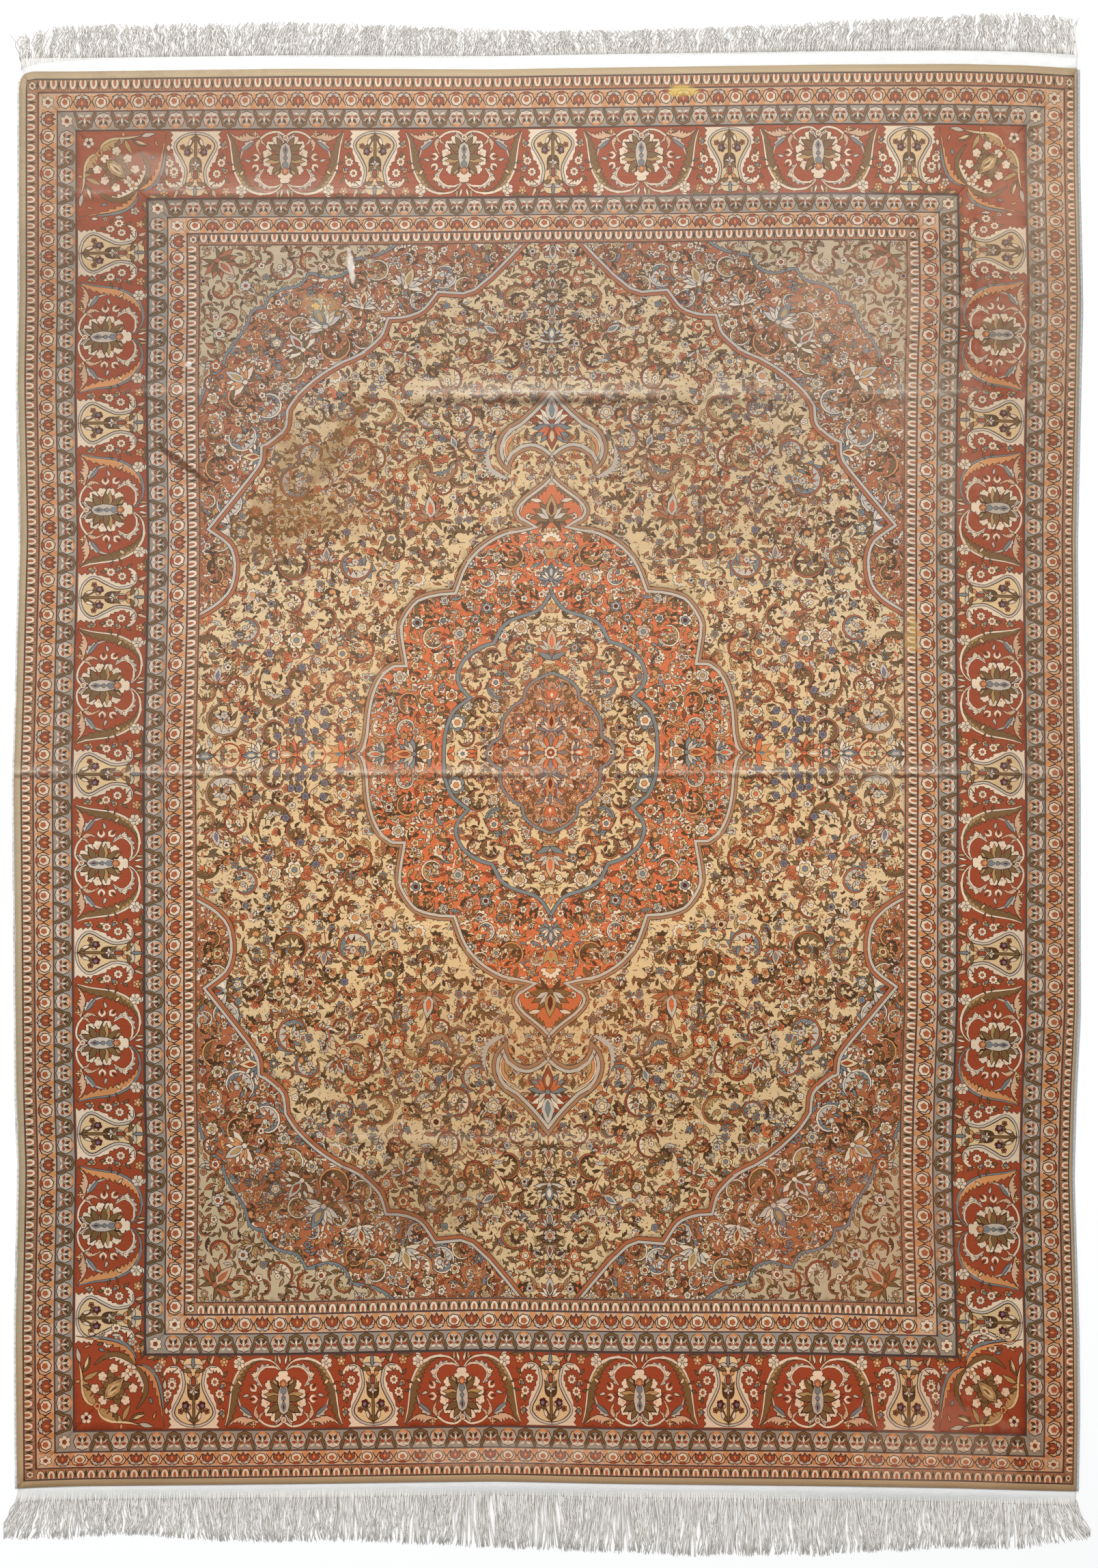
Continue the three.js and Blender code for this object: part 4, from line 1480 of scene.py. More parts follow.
BEYOND_MIRROR = 30.0    # how far past a mirror line the bare ground is looked at
MIRROR_CLEAR = 1.5      # how far from it small motifs keep
EDGE = (0.9, LINE)
MEDALLION_BANDS = (EDGE, (3.6, TAN), EDGE, (3.8, PEARL), EDGE, (0, CORAL))
CROWN_BANDS = (EDGE, (4.6, TAN), EDGE, (4.6, PEARL), EDGE, (0, CREAM))
INNER_BANDS = (EDGE, (4.6, BLUE), EDGE, (0, CREAM))
SPANDREL_BANDS = (EDGE, (4.4, SALMON), EDGE, (3.6, PEARL), EDGE, (0, SALMON))

Curl = tuple[float, float, float, float, bool, CurlDyes]
# across, up, radius, turn, flip, dyes
FIELD_CURLS: tuple[Curl, ...] = (
    (376, 282, 25, 75, True, BROWNS), (288, 282, 25, -75, False, BLUES), (425, 290, 17, 0, True, OLIVES),
    (499, 157, 25, 10, False, GREENS), (380, 222, 17, 160, False, IVORIES),
    (331, 204, 16, 10, True, BROWNS),
    (278, 152, 19, 180, False, ORANGES), (288, 180, 14, 20, False, BROWNS),
    (503, 92, 15, 200, False, OLIVES),
    (476, 56, 28, -60, False, FADED), (368, 112, 17, 40, False, BROWNS), (311, 88, 18, 200, True, ORANGES),
    (446, 186, 20, 15, True, BLUES), (436, 147, 13, 200, True, GREENS), (456, 98, 18, 60, False, IVORIES),
    (363, 73, 10, 0, True, ORANGES), (401, 34, 19, 15, False, BROWNS), (316, 38, 9, 60, False, ORANGES),
    (248, 515, 22, 20, True, OLIVES), (135, 500, 22, 190, False, IVORIES), (104, 465, 22, 150, True, BLUES),
    (192, 422, 22, 70, False, OLIVES), (130, 415, 24, 190, True, FADED), (372, 402, 26, 160, True, BLUES),
    (120, 655, 14, 190, False, OLIVES), (350, 447, 19, 60, False, BLUES),
    (280, 452, 22, -40, True, ORANGES),
    (262, 440, 20, 190, False, IVORIES), (240, 345, 16, 190, False, ORANGES),
    (180, 300, 14, 90, True, BROWNS),
    (228, 300, 17, 150, True, BROWNS), (160, 398, 14, 250, False, IVORIES),
    (75, 402, 12, 80, False, OLIVES),
    (62, 590, 20, 170, False, BROWNS), (52, 686, 21, 200, True, OLIVES), (108, 600, 17, 140, True, ORANGES),
    (150, 560, 19, 200, False, IVORIES), (172, 640, 15, 220, True, FADED),
    (200, 580, 14, 20, False, GREENS),
    (225, 560, 12, 200, True, ORANGES), (45, 545, 15, 200, True, IVORIES), (30, 640, 15, 30, False, BROWNS),
    (90, 540, 15, 30, True, FADED), (300, 515, 15, 60, True, BLUES), (345, 505, 13, 220, False, GREENS),
    (180, 505, 18, -30, False, FADED), (210, 468, 15, 200, True, BLUES),
    (305, 395, 15, 200, False, IVORIES),
    (262, 380, 14, 30, True, ORANGES), (320, 345, 13, 150, False, OLIVES),
    (430, 342, 14, 200, False, BROWNS),
    (455, 250, 12, 100, True, OLIVES), (20, 600, 9, 0, False, OLIVES), (335, 155, 11, 120, True, OLIVES),
    (245, 262, 12, 200, True, GREENS), (232, 400, 12, 60, False, BROWNS), (15, 735, 12, 30, False, GREENS))
MEDALLION_CURLS: tuple[Curl, ...] = (
    (47, 256, 15, 10, False, PALE_ON_RED), (96, 258, 14, 200, False, BLUE_ON_RED),
    (57, 293, 19, 60, True, DARK_ON_RED),
    (102, 300, 13, 150, True, ON_RED), (122, 217, 11, 170, False, PALE_ON_RED),
    (143, 206, 9, 0, True, PALE_ON_RED),
    (184, 214, 20, 20, False, DARK_ON_RED), (172, 170, 17, 170, True, ON_RED),
    (212, 147, 14, 200, True, DARK_ON_RED),
    (186, 118, 14, 190, False, PALE_ON_RED), (207, 76, 17, 20, False, DARK_ON_RED),
    (210, 38, 14, 60, False, BLUE_ON_RED),
    (247, 101, 13, 20, False, ON_RED), (245, 38, 17, 160, True, PALE_ON_RED),
    (66, 224, 10, 80, True, BLUE_ON_RED),
    (158, 90, 12, 10, True, ON_RED), (174, 30, 12, 120, False, DARK_ON_RED),
    (18, 296, 10, 10, False, PALE_ON_RED),
    (130, 262, 12, 20, False, DARK_ON_RED), (176, 60, 10, 30, True, PALE_ON_RED))
INNER_CURLS: tuple[Curl, ...] = (
    (50, 149, 18, 190, True, ORANGES), (86, 141, 16, 20, False, BROWNS), (109, 136, 13, 200, True, IVORIES),
    (75, 96, 21, 200, True, CurlDyes(BLUE, PEARL, BLUE)), (103, 70, 17, 20, False, BROWNS),
    (34, 203, 11, 40, False, OLIVES), (65, 193, 8, 190, True, IVORIES), (125, 22, 14, 190, False, IVORIES),
    (112, 101, 12, 100, True, ORANGES), (22, 178, 10, 180, True, BROWNS), (82, 172, 9, 20, True, OLIVES))
SPANDREL_CURLS: tuple[Curl, ...] = (  # measured in from the field's corner
    (402, 30, 12, 190, False, PALE_ON_RED), (355, 50, 20, 190, True, BLUE_ON_RED),
    (385, 68, 15, 10, True, ON_RED),
    (322, 44, 20, 20, False, PALE_ON_RED), (320, 88, 15, 200, False, BLUE_ON_RED),
    (268, 92, 18, 60, False, PALE_ON_RED),
    (258, 38, 18, 200, True, ON_RED), (300, 22, 11, 160, True, BLUE_ON_RED),
    (236, 150, 17, 20, False, ON_RED),
    (205, 115, 20, 195, True, PALE_ON_RED), (195, 160, 24, 70, False, DARK_ON_RED),
    (165, 95, 13, 200, True, BLUE_ON_RED),
    (145, 130, 16, 20, True, ON_RED), (120, 118, 12, 200, False, PALE_ON_RED),
    (133, 190, 21, 190, True, ON_RED),
    (90, 190, 15, 30, False, PALE_ON_RED), (100, 250, 21, 200, True, BLUE_ON_RED),
    (60, 240, 20, 20, True, DARK_ON_RED),
    (155, 240, 13, 60, True, PALE_ON_RED), (60, 300, 23, 60, False, BLUE_ON_RED),
    (110, 295, 12, 180, True, ON_RED),
    (22, 285, 14, 20, False, PALE_ON_RED), (28, 345, 21, 190, False, DARK_ON_RED),
    (72, 345, 14, 20, True, PALE_ON_RED),
    (40, 400, 21, 60, False, BLUE_ON_RED), (12, 395, 11, 200, True, ON_RED),
    (28, 455, 17, 190, True, ON_RED),
    (55, 475, 12, 20, False, PALE_ON_RED), (20, 510, 14, 20, False, DARK_ON_RED),
    (12, 548, 10, 190, True, PALE_ON_RED),
    (430, 22, 9, 30, True, ON_RED), (228, 60, 14, 20, True, DARK_ON_RED),
    (175, 210, 11, 0, False, BLUE_ON_RED))
CORNER_CURLS: tuple[Curl, ...] = (
    (212, 24, 14, 60, True, OLIVES), (160, 24, 15, 200, False, ORANGES), (118, 36, 20, 60, False, IVORIES),
    (75, 60, 16, 20, True, BROWNS), (40, 120, 15, 190, True, ORANGES), (22, 165, 15, 20, False, OLIVES),
    (20, 215, 13, 190, False, IVORIES), (95, 18, 12, 190, True, BROWNS), (30, 70, 16, 60, False, ORANGES),
    (60, 22, 16, 20, False, OLIVES), (245, 12, 9, 20, False, OLIVES), (12, 100, 11, 200, False, BROWNS),
    (55, 90, 12, 200, False, IVORIES), (186, 12, 10, 20, False, GREENS), (140, 10, 10, 190, True, IVORIES))


class Field:
    """The field: a medallion and its pendants on an open ground, with a spandrel in each corner.

    One quarter is drawn; the other three are its mirror images, as on the loom.
    """

    def __init__(self) -> None:
        """Sets out the regions and draws the quarter."""
        self.pen = Drawing(31)
        self.motifs = Motifs(self.pen)
        self.medallion = four_fold(runs(
            [(0, 426), (7, 411), (22, 397), (42, 382), (54, 368), (57, 355), (50, 342), (38, 336)],
            [(38, 336), (71, 331), (106, 311), (131, 282), (146, 244)],
            [(146, 244), (171, 242), (201, 232), (221, 207), (228, 182), (221, 137)],
            [(221, 137), (236, 135), (256, 117), (268, 88), (273, 58), (275, 28), (281, 8), (293, 0)]))
        self.inner = four_fold(runs(
            [(0, 249), (6, 232), (22, 212), (52, 202), (74, 189), (87, 165)],
            [(87, 165), (108, 158), (131, 140), (141, 115), (136, 96), (124, 82)],
            [(124, 82), (144, 66), (156, 38), (159, 0)]))
        self.core = four_fold(runs(
            [(0, 118), (15, 112), (30, 103), (39, 92), (41, 79)], [(41, 79), (59, 67), (72, 48), (74, 24)],
            [(74, 24), (87, 15), (95, 0)]))
        self.drop = two_fold(runs([(0, 335), (35, 343)],
                                  [(35, 343), (44, 349), (46, 358), (42, 366), (33, 375),
                                                          (17, 388), (4, 400), (0, 408)]))
        self.crown = two_fold(runs(
            [(0, 420), (4, 432), (16, 444), (32, 450), (49, 443), (58, 430), (60, 413)],
            [(60, 413), (77, 430), (83, 452), (77, 474), (64, 489), (50, 497)],
            [(50, 497), (26, 520), (0, 551)]))
        spandrel = runs([(480, -6), (478, 3), (404, 80), (350, 84)],
                        [(350, 84), (330, 110), (303, 122), (280, 124)],
                        [(280, 124), (270, 150), (240, 178), (211, 192)],
                        [(211, 192), (180, 212), (150, 240), (136, 261)],
                        [(136, 261), (132, 290), (110, 312), (98, 319)],
                        [(98, 319), (94, 345), (60, 390), (22, 437)],
                        [(22, 437), (48, 458), (58, 490), (52, 530), (30, 556), (0, 574), (-6, 577)])
        self.spandrel = from_corner(np.concatenate([[(480, -24)], spandrel, [(-24, 577), (-24, -24)]]))
        corner = runs([(290, -6), (287, 2), (260, 18), (226, 25)],
                      [(226, 25), (214, 46), (190, 54), (160, 47)],
                      [(160, 47), (146, 66), (122, 72), (102, 84), (96, 101)],
                      [(96, 101), (78, 106), (70, 130), (56, 150), (50, 160)],
                      [(50, 160), (40, 176), (36, 194), (20, 208)],
                      [(20, 208), (10, 228), (0, 255), (-6, 262)])
        self.corner = from_corner(np.concatenate([[(290, -24)], corner, [(-24, 262), (-24, -24)]]))
        self.region = box_outline(0, 0, FIELD_X, FIELD_Y)
        self.draw()

    # -- Region grounds
    def draw(self) -> None:
        """Draws every region, from the open ground inwards."""
        whole = box_outline(-40, -40, FIELD_X + 20, FIELD_Y + 20)
        self.pen.lay(Place(), whole, CREAM, even=True, leafy=True)
        self.open_ground()
        self.spandrels()
        self.pendants()
        self.medallions()

    def chart(self, curls: Sequence[Curl], corner: bool = False) -> None:
        """Draws the curled leaves of a table."""
        for x, y, radius, turn, flip, dyes in curls:
            if corner:
                x, y, turn = FIELD_X - x, FIELD_Y - y, turn + 180
            at = Place().put(x, y, turn=turn).put(flip=flip)
            self.motifs.curl(at, radius, dyes, 262 if radius > 12 else 235,
                             6 if radius > 16 else 5 if radius > 12 else 4)

    def palmettes(self, rows: Sequence[tuple], at: Place = Place()) -> None:
        """Draws palmettes, each given by its x, y, turn, size and five dyes, from some place on."""
        for x, y, turn, size, *dyes in rows:
            self.motifs.palmette(at.put(x, y, turn=turn), size, *dyes)

    def peonies(self, rows: Sequence[tuple], size: float = 1.0, at: Place = Place()) -> None:
        """Draws full flowers.

        Args:
            rows: For each its x, y, size and dyes from the outside in, leaves last if they aren't olive.
            size: What every size is multiplied by.
            at: Where they are drawn from.
        """
        for x, y, radius, *dyes in rows:
            self.motifs.peony(at.put(x, y, turn=x * 7), radius * size, *dyes)

    def fill(self, inside: Outline, outside: Sequence[Outline], palette: Palette, since: int,
             crowd: float = 1.0) -> None:
        """Fills what is bare of a region with small leaves and flowers.

        Args:
            inside: The region's outline.
            outside: Outlines that lie over it.
            palette: The dyes to use.
            since: The first of the drawing's shapes that lies on this region's ground.
            crowd: How freely it is filled; less leaves more bare ground.
        """
        ground = Ground((-BEYOND_MIRROR, -BEYOND_MIRROR), (FIELD_X + 8, FIELD_Y + 8))
        ground.mark(grow(oriented(inside), -3.0), False)
        for outline in outside:
            ground.mark(grow(oriented(outline), 2.0), True)
        for outline, _ in self.pen.shapes[since:]:
            ground.mark(outline, True)
        edge = int((BEYOND_MIRROR + MIRROR_CLEAR) / ground.cell)
        ground.taken[:edge, :] = True
        ground.taken[:, :edge] = True
        chance, motifs = self.pen.chance, self.motifs
        pick = chance.choice

        def some(dyes: Sequence[Dye], count: int) -> list[Dye]:
            """Several dyes picked by chance."""
            return [pick(dyes) for _ in range(count)]

        def coil(radius: float, sweep: float) -> Callable[[Place], None]:
            """A scroll with leaves, of a given size and turn."""
            return lambda at: motifs.swirl(at, radius, pick(palette.stems), some(palette.leaves, 3),
                                           pick(palette.petals), pick(palette.hearts), sweep)

        def flower(at: Place) -> None:
            """A small full flower."""
            motifs.peony(at, 6.4, *some(palette.petals, 2), pick(palette.hearts), pick(palette.leaves))

        def spray(at: Place) -> None:
            """A sprig with a bud."""
            motifs.sprig(at, 25, pick(palette.leaves), pick(palette.petals), pick(palette.hearts))

        def ring(at: Place) -> None:
            """A curled line."""
            motifs.curl(at, 9.6, pick(palette.curls), 235, 4)

        def trio(at: Place) -> None:
            """Three leaves round a small rosette."""
            for turn in (20, 140, 260):
                motifs.leaf(at.put(turn=turn).put(y=1.6), 7.0, 3.4, pick(palette.leaves), 2.2, 0.7)
            motifs.rosette(at, 3.4, pick(palette.petals), pick(palette.hearts), 5)

        def hooked(at: Place) -> None:
            """A hooked leaf."""
            motifs.hook(at, 12.5, pick(palette.leaves), 4)

        def small_hook(at: Place) -> None:
            """A smaller hooked leaf, lying across."""
            motifs.hook(at, 8.4, pick(palette.leaves), 3, 90)

        def leaf(at: Place) -> None:
            """A single leaf."""
            motifs.leaf(at, 9.5, 4.2, pick(palette.leaves), 2.2, 0.7)

        hook_foot = np.array([(2, 0), (1, 9), (-6, 14), (-13, 14), (-9, 7), (-5, 0)], dtype=float)
        kinds = (Filling(disc(21, 10), coil(15.0, 200.0), 14 / crowd, 2),
                 Filling(disc(15.5, 8), coil(10.5, 160.0), 12 / crowd, 2),
                 Filling(disc(11.5, 8), flower, 14 / crowd, 1),
                 Filling(petal(27, 12), spray, 12 / crowd, 2),
                 Filling(disc(12.5, 8), ring, 11 / crowd, 1), Filling(hook_foot, hooked, 9 / crowd, 3),
                 Filling(disc(8.0, 8), trio, 9 / crowd, 1),
                 Filling(hook_foot * 0.68, small_hook, 6 / crowd, 3),
                 Filling(petal(10.5, 5.4), leaf, 6 / crowd, 2))
        laid = fill_ground(ground, kinds, chance)
        log.info("filled a region with %d small motifs", laid)

    def vines(self, paths: Sequence[Sequence[tuple[float, float]]], dye: Dye, width: float = 1.5) -> None:
        """Draws the thin stems that tie the large motifs together."""
        for path in paths:
            self.motifs.stem(Place(), path, dye, width)

    # -- Open ground
    def open_ground(self) -> None:
        """The leaves and flowers of the open ground, and its finial towards each side."""
        m, since = self.motifs, len(self.pen.shapes)
        self.vines(([(330, 255), (328, 275), (331, 300), (333, 330)],
                    [(373, 165), (400, 152), (430, 140), (470, 150)],
                    [(373, 165), (345, 182), (340, 200)], [(300, 12), (330, 40), (352, 60), (350, 100)],
                    [(340, 150), (360, 140), (375, 128)], [(330, 330), (300, 350), (285, 380), (300, 420)],
                    [(60, 640), (80, 600), (120, 580), (150, 540)], [(190, 445), (215, 480), (240, 495)],
                    [(175, 345), (178, 380), (185, 400)], [(120, 440), (140, 470), (135, 480)],
                    [(430, 15), (455, 25), (468, 28), (480, 10)],
                    [(410, 180), (420, 150), (452, 120), (470, 115)],
                    [(210, 325), (240, 330), (262, 352), (290, 372)], [(100, 560), (110, 520), (100, 490)]),
                    BRICK)
        self.chart(FIELD_CURLS)
        self.palmettes((
            (330, 285, 0, 24, COPPER, PEARL, PEACH, BLUE, OLIVE),
            (310, 440, 30, 24, PEARL, COPPER, PEARL, BRICK, OLIVE),
            (176, 350, -5, 34, COPPER, TAN, PEARL, CORAL, OLIVE),
            (488, 108, 10, 24, COPPER, PEACH, PEARL, VIOLET, OLIVE),
            (80, 632, -60, 24, TAN, COPPER, PEARL, BLUE, OLIVE),
            (215, 600, 200, 22, PEARL, COPPER, CREAM, TAN, OLIVE),
            (140, 455, -20, 22, PEACH, OLIVE, PEARL, BLUE, OLIVE)))
        self.feathered()
        for x, y, size, petals, heart in (
                (373, 168, 13, IVORY, BLUE), (306, 148, 12, APRICOT, BLUE),
                (278, 187, 11, TAN, PEARL), (318, 180, 9, IVORY, BRICK),
                (402, 172, 10, IVORY, PEACH), (300, 60, 10, IVORY, CORAL),
                (235, 320, 12, OLIVE, BLUE), (300, 430, 11, PEACH, CORAL),
                (192, 465, 10, IVORY, BLUE), (222, 415, 11, CORAL, IVORY),
                (80, 508, 12, PEARL, IVORY), (165, 530, 12, PEACH, MAROON),
                (240, 615, 10, CORAL, PEARL), (130, 620, 11, OLIVE, PEARL),
                (62, 745, 8, PEARL, OLIVE), (36, 716, 9, CORAL, IVORY),
                (30, 574, 10, TAN, VIOLET), (395, 345, 10, CREAM, BRICK),
                (455, 330, 9, BLUE, PEARL), (350, 330, 9, PEACH, MAROON),
                (262, 585, 10, CREAM, BLUE), (215, 640, 10, CORAL, BRICK),
                (345, 365, 9, IVORY, CORAL), (250, 250, 9, PEACH, MAROON)):
            m.peony(Place().put(x, y, turn=x * 7), size, petals, CREAM, heart,
                    OLIVE if x % 2 else COPPER)
        for x, y in ((328, 42), (343, 34), (362, 32), (357, 19), (305, 23), (397, 27), (342, 160),
                     (364, 128), (356, 61), (377, 49), (365, 50), (412, 150), (330, 62), (385, 92),
                     (300, 330), (160, 470)):
            m.pair(Place().put(x, y - 3, turn=x * 17), 9, 4.4, OLIVE, 120)
            m.rosette(Place().put(x, y, turn=x * 11), 5.4, VIOLET, DEEP_BLUE, 6)
        self.finial()
        hidden = (self.medallion, self.spandrel, self.crown)
        self.fill(self.region, hidden, ON_CREAM, since)

    def feathered(self) -> None:
        """The broad feathered leaves of the open ground."""
        m = self.motifs
        for spot, size, flip, dyes in (((404, 96), 0.9, False, (OLIVE, PEARL, COPPER)),
                                       ((160, 428), 0.9, True, (TAN, BLUE, COPPER)),
                                       ((282, 440), 0.8, True, (STRAW, OLIVE, COPPER))):
            at = Place().put(*spot, size=size, flip=flip)
            path = [(-31, 0), (-20, -19), (2, -27), (20, -12), (25, 12), (18, 32)]
            m.feather(at, path, 13, 9, dyes[0], dyes[2])
            m.feather(at, [(-14, -10), (-2, -15), (10, -6), (12, 6)], 8, 5, dyes[1])
            m.feather(at, [(22, 8), (30, -2), (32, -18)], 6, 4, dyes[0])

    def finial(self) -> None:
        """The string of flowers from the medallion's tip to the side of the field."""
        m = self.motifs
        m.tulip(Place().put(300, 0, turn=-90), 26, APRICOT, BLUE)
        m.pair(Place().put(300, 0, turn=-90), 22, 8, CORAL, 62, 4)
        for x in (346, 468):
            for flip in BOTH:
                frame_path = [(x - 20, 0), (x - 12, 14), (x + 4, 17), (x + 22, 0)]
                at = Place() if not flip else Place(1, 0, 0, -1)
                m.stem(at, frame_path, CORAL if x < 400 else BRICK, 2.6)
        m.fan(Place().put(344, 0, turn=-90), 9, PEARL, BLUE, 5)
        m.palmette(Place().put(372, 0, turn=-90), 28, CORAL, OLIVE, APRICOT, IVORY, BRICK)
        m.peony(Place().put(402, 0), 10, PEACH, VIOLET, IVORY, CORAL)
        m.palmette(Place().put(424, 0, turn=-90), 24, IVORY, PEARL, BLUE, IVORY, STRAW)
        m.rosette(Place().put(468, 0), 6, CREAM, CORAL, 6)
        m.palmette(Place().put(512, 0, turn=90), 24, IVORY, OLIVE, BLUE, PEARL, DARK_OLIVE)
        m.stem(Place(), [(0, 548), (0, 640), (0, 770)], COPPER, 3.0)
        self.palmettes((
            (0, 566, 0, 20, OLIVE, PEARL, PEACH, COPPER, OLIVE),
            (0, 618, 0, 26, PEARL, OLIVE, BLUE, IVORY, OLIVE),
            (0, 676, 180, 24, COPPER, PEARL, PEACH, BLUE, OLIVE),
            (0, 700, 0, 20, OLIVE, TAN, PEARL, BRICK, OLIVE),
            (0, 772, 180, 26, COPPER, IVORY, PEARL, OLIVE, OLIVE)))
        for y, radius in ((600, 8), (652, 7), (688, 9), (734, 8)):
            m.pair(Place().put(0, y), 20, 7, OLIVE, 66, 6)
            m.peony(Place().put(0, y), radius, PEARL, PEACH, COPPER)

    # -- Pendants
    def pendants(self) -> None:
        """The cream crown that hangs from the medallion's pointed end."""
        m = self.motifs
        for flip in BOTH:
            at = Place().put(flip=flip)
            wing = [(64, 409), (86, 424), (92, 446), (88, 468)]
            self.pen.knot(at, frond(spline(wing, 4), -13, 14, 0.5, 0.4), PEARL)
        self.pen.banded(self.crown, CROWN_BANDS)
        since = len(self.pen.shapes)
        for flip in BOTH:
            at = Place().put(flip=flip)
            m.feather(at, [(58, 422), (70, 448), (64, 470), (40, 484)], 24, 10, APRICOT, IVORY)
            m.feather(at, [(60, 438), (64, 456), (54, 470)], 12, 5, STRAW)
            m.curl(at.put(20, 470, turn=30), 9, OLIVES, 230, 5)
            m.leaf(at.put(2, 505, turn=-50), 24, 8, BRICK, 8)
            m.leaf(at.put(4, 496, turn=-75), 20, 6, IVORY, -4)
            m.feather(at, [(14, 486), (26, 490), (34, 500)], 5, 4, OLIVE)
        m.palmette(Place().put(0, 494), 40, BRICK, IVORY, PEARL, BLUE, OLIVE)
        m.palmette(Place().put(0, 486, turn=180), 34, BLUE, CORAL, BRICK, CREAM, PEARL)
        self.fill(self.crown, (self.medallion,), ON_CREAM, since, 1.1)
        self.pen.hoops(self.crown, CROWN_BANDS)

    def filled_drop(self) -> None:
        """The medallion's pointed end, in a deeper red."""
        m = self.motifs
        self.pen.lay(Place(), self.drop, CORAL)
        for flip in BOTH:
            at = Place().put(flip=flip)
            m.feather(at, [(6, 396), (24, 388), (40, 372), (46, 356)], -11, 8, OLIVE, IVORY)
            m.rosette(at.put(33, 350), 5, IVORY, BRICK, 6)
            m.leaf(at.put(20, 345, turn=-40), 14, 5, STRAW, 3)
            m.leaf(at.put(14, 372, turn=-70), 17, 6, IVORY, 3)
            m.curl(at.put(16, 404, turn=20), 7, PALE_ON_RED, 230, 4)
        m.tulip(Place().put(0, 396), 15, PEACH, PEARL)
        m.palmette(Place().put(0, 346), 36, OLIVE, PEARL, STRAW, MAROON, DARK_OLIVE)

    # -- Medallions
    def medallions(self) -> None:
        """The coral medallion, the cream one inside it and the rose core."""
        m = self.motifs
        self.pen.banded(self.medallion, MEDALLION_BANDS)
        since = len(self.pen.shapes)
        self.chart(MEDALLION_CURLS)
        m.fan(Place().put(0, 312), 15, IVORY, APRICOT, 7)
        m.tulip(Place().put(0, 286), 22, STRAW, CORAL)
        m.palmette(Place().put(0, 256), 24, BLUE, IVORY, DEEP_BLUE, PEARL, BLUE)
        m.peony(Place().put(184, 0), 12, IVORY, APRICOT, STRAW, BLUE)
        self.palmettes(((200, 0, -90, 30, BLUE, PEARL, APRICOT, BRICK, DARK_OLIVE),
                        (244, 0, -90, 24, PEARL, BLUE, PEARL, CORAL, OLIVE)))
        self.peonies((
                (95, 215, 10, BLUE, PEARL, MAROON), (157, 226, 8, PEARL, IVORY, BLUE),
                (197, 194, 11, IVORY, BLUE, MAROON), (135, 177, 13, PEACH, PEARL, BLUE),
                (222, 113, 12, IVORY, PEARL, STRAW), (146, 86, 11, IVORY, APRICOT, BRICK),
                (112, 198, 8, BLUE, IVORY, BRICK), (235, 78, 9, PEARL, IVORY, MAROON),
                (80, 290, 9, IVORY, CREAM, BLUE), (118, 281, 8, PEARL, BLUE, IVORY),
                (178, 68, 9, IVORY, BLUE, BRICK), (66, 318, 7, IVORY, PEACH, BRICK)), 0.85)
        self.filled_drop()
        self.fill(self.medallion, (self.inner,), ON_CORAL, since, 1.1)
        self.pen.hoops(self.medallion, MEDALLION_BANDS)
        self.cream_medallion()
        self.rose_core()

    def cream_medallion(self) -> None:
        """The cream medallion in its slate blue band."""
        m = self.motifs
        self.pen.banded(self.inner, INNER_BANDS)
        since = len(self.pen.shapes)
        self.chart(INNER_CURLS)
        m.tulip(Place().put(0, 206), 17, APRICOT, BLUE)
        m.palmette(Place().put(0, 150), 32, COPPER, PEARL, PEACH, CORAL, OLIVE)
        m.pair(Place().put(0, 136), 22, 8, BLUE, 50, 5)
        for flip in BOTH:
            mirror = Place(1, 0, 0, -1 if flip else 1)
            m.leaf(mirror.put(108, 0, turn=-60), 15, 6, CORAL, 3)
            m.leaf(mirror.put(150, 0, turn=50), 15, 6, CORAL, 3)
        m.rosette(Place().put(128, 0), 8, IVORY, BLUE, 8)
        self.peonies((
                (45, 184, 11, IVORY, PEACH, STRAW), (137, 46, 13, BLUE, IVORY, APRICOT),
                (82, 104, 10, CORAL, IVORY, BLUE), (82, 68, 8, PEARL, IVORY, STRAW),
                (100, 36, 8, APRICOT, BLUE, MAROON), (70, 172, 8, PEARL, IVORY, CORAL),
                (66, 130, 7, CORAL, APRICOT, BLUE), (122, 70, 7, PEARL, IVORY, BLUE)))
        self.fill(self.inner, (self.core,), ON_CREAM, since, 1.1)
        self.pen.hoops(self.inner, INNER_BANDS)

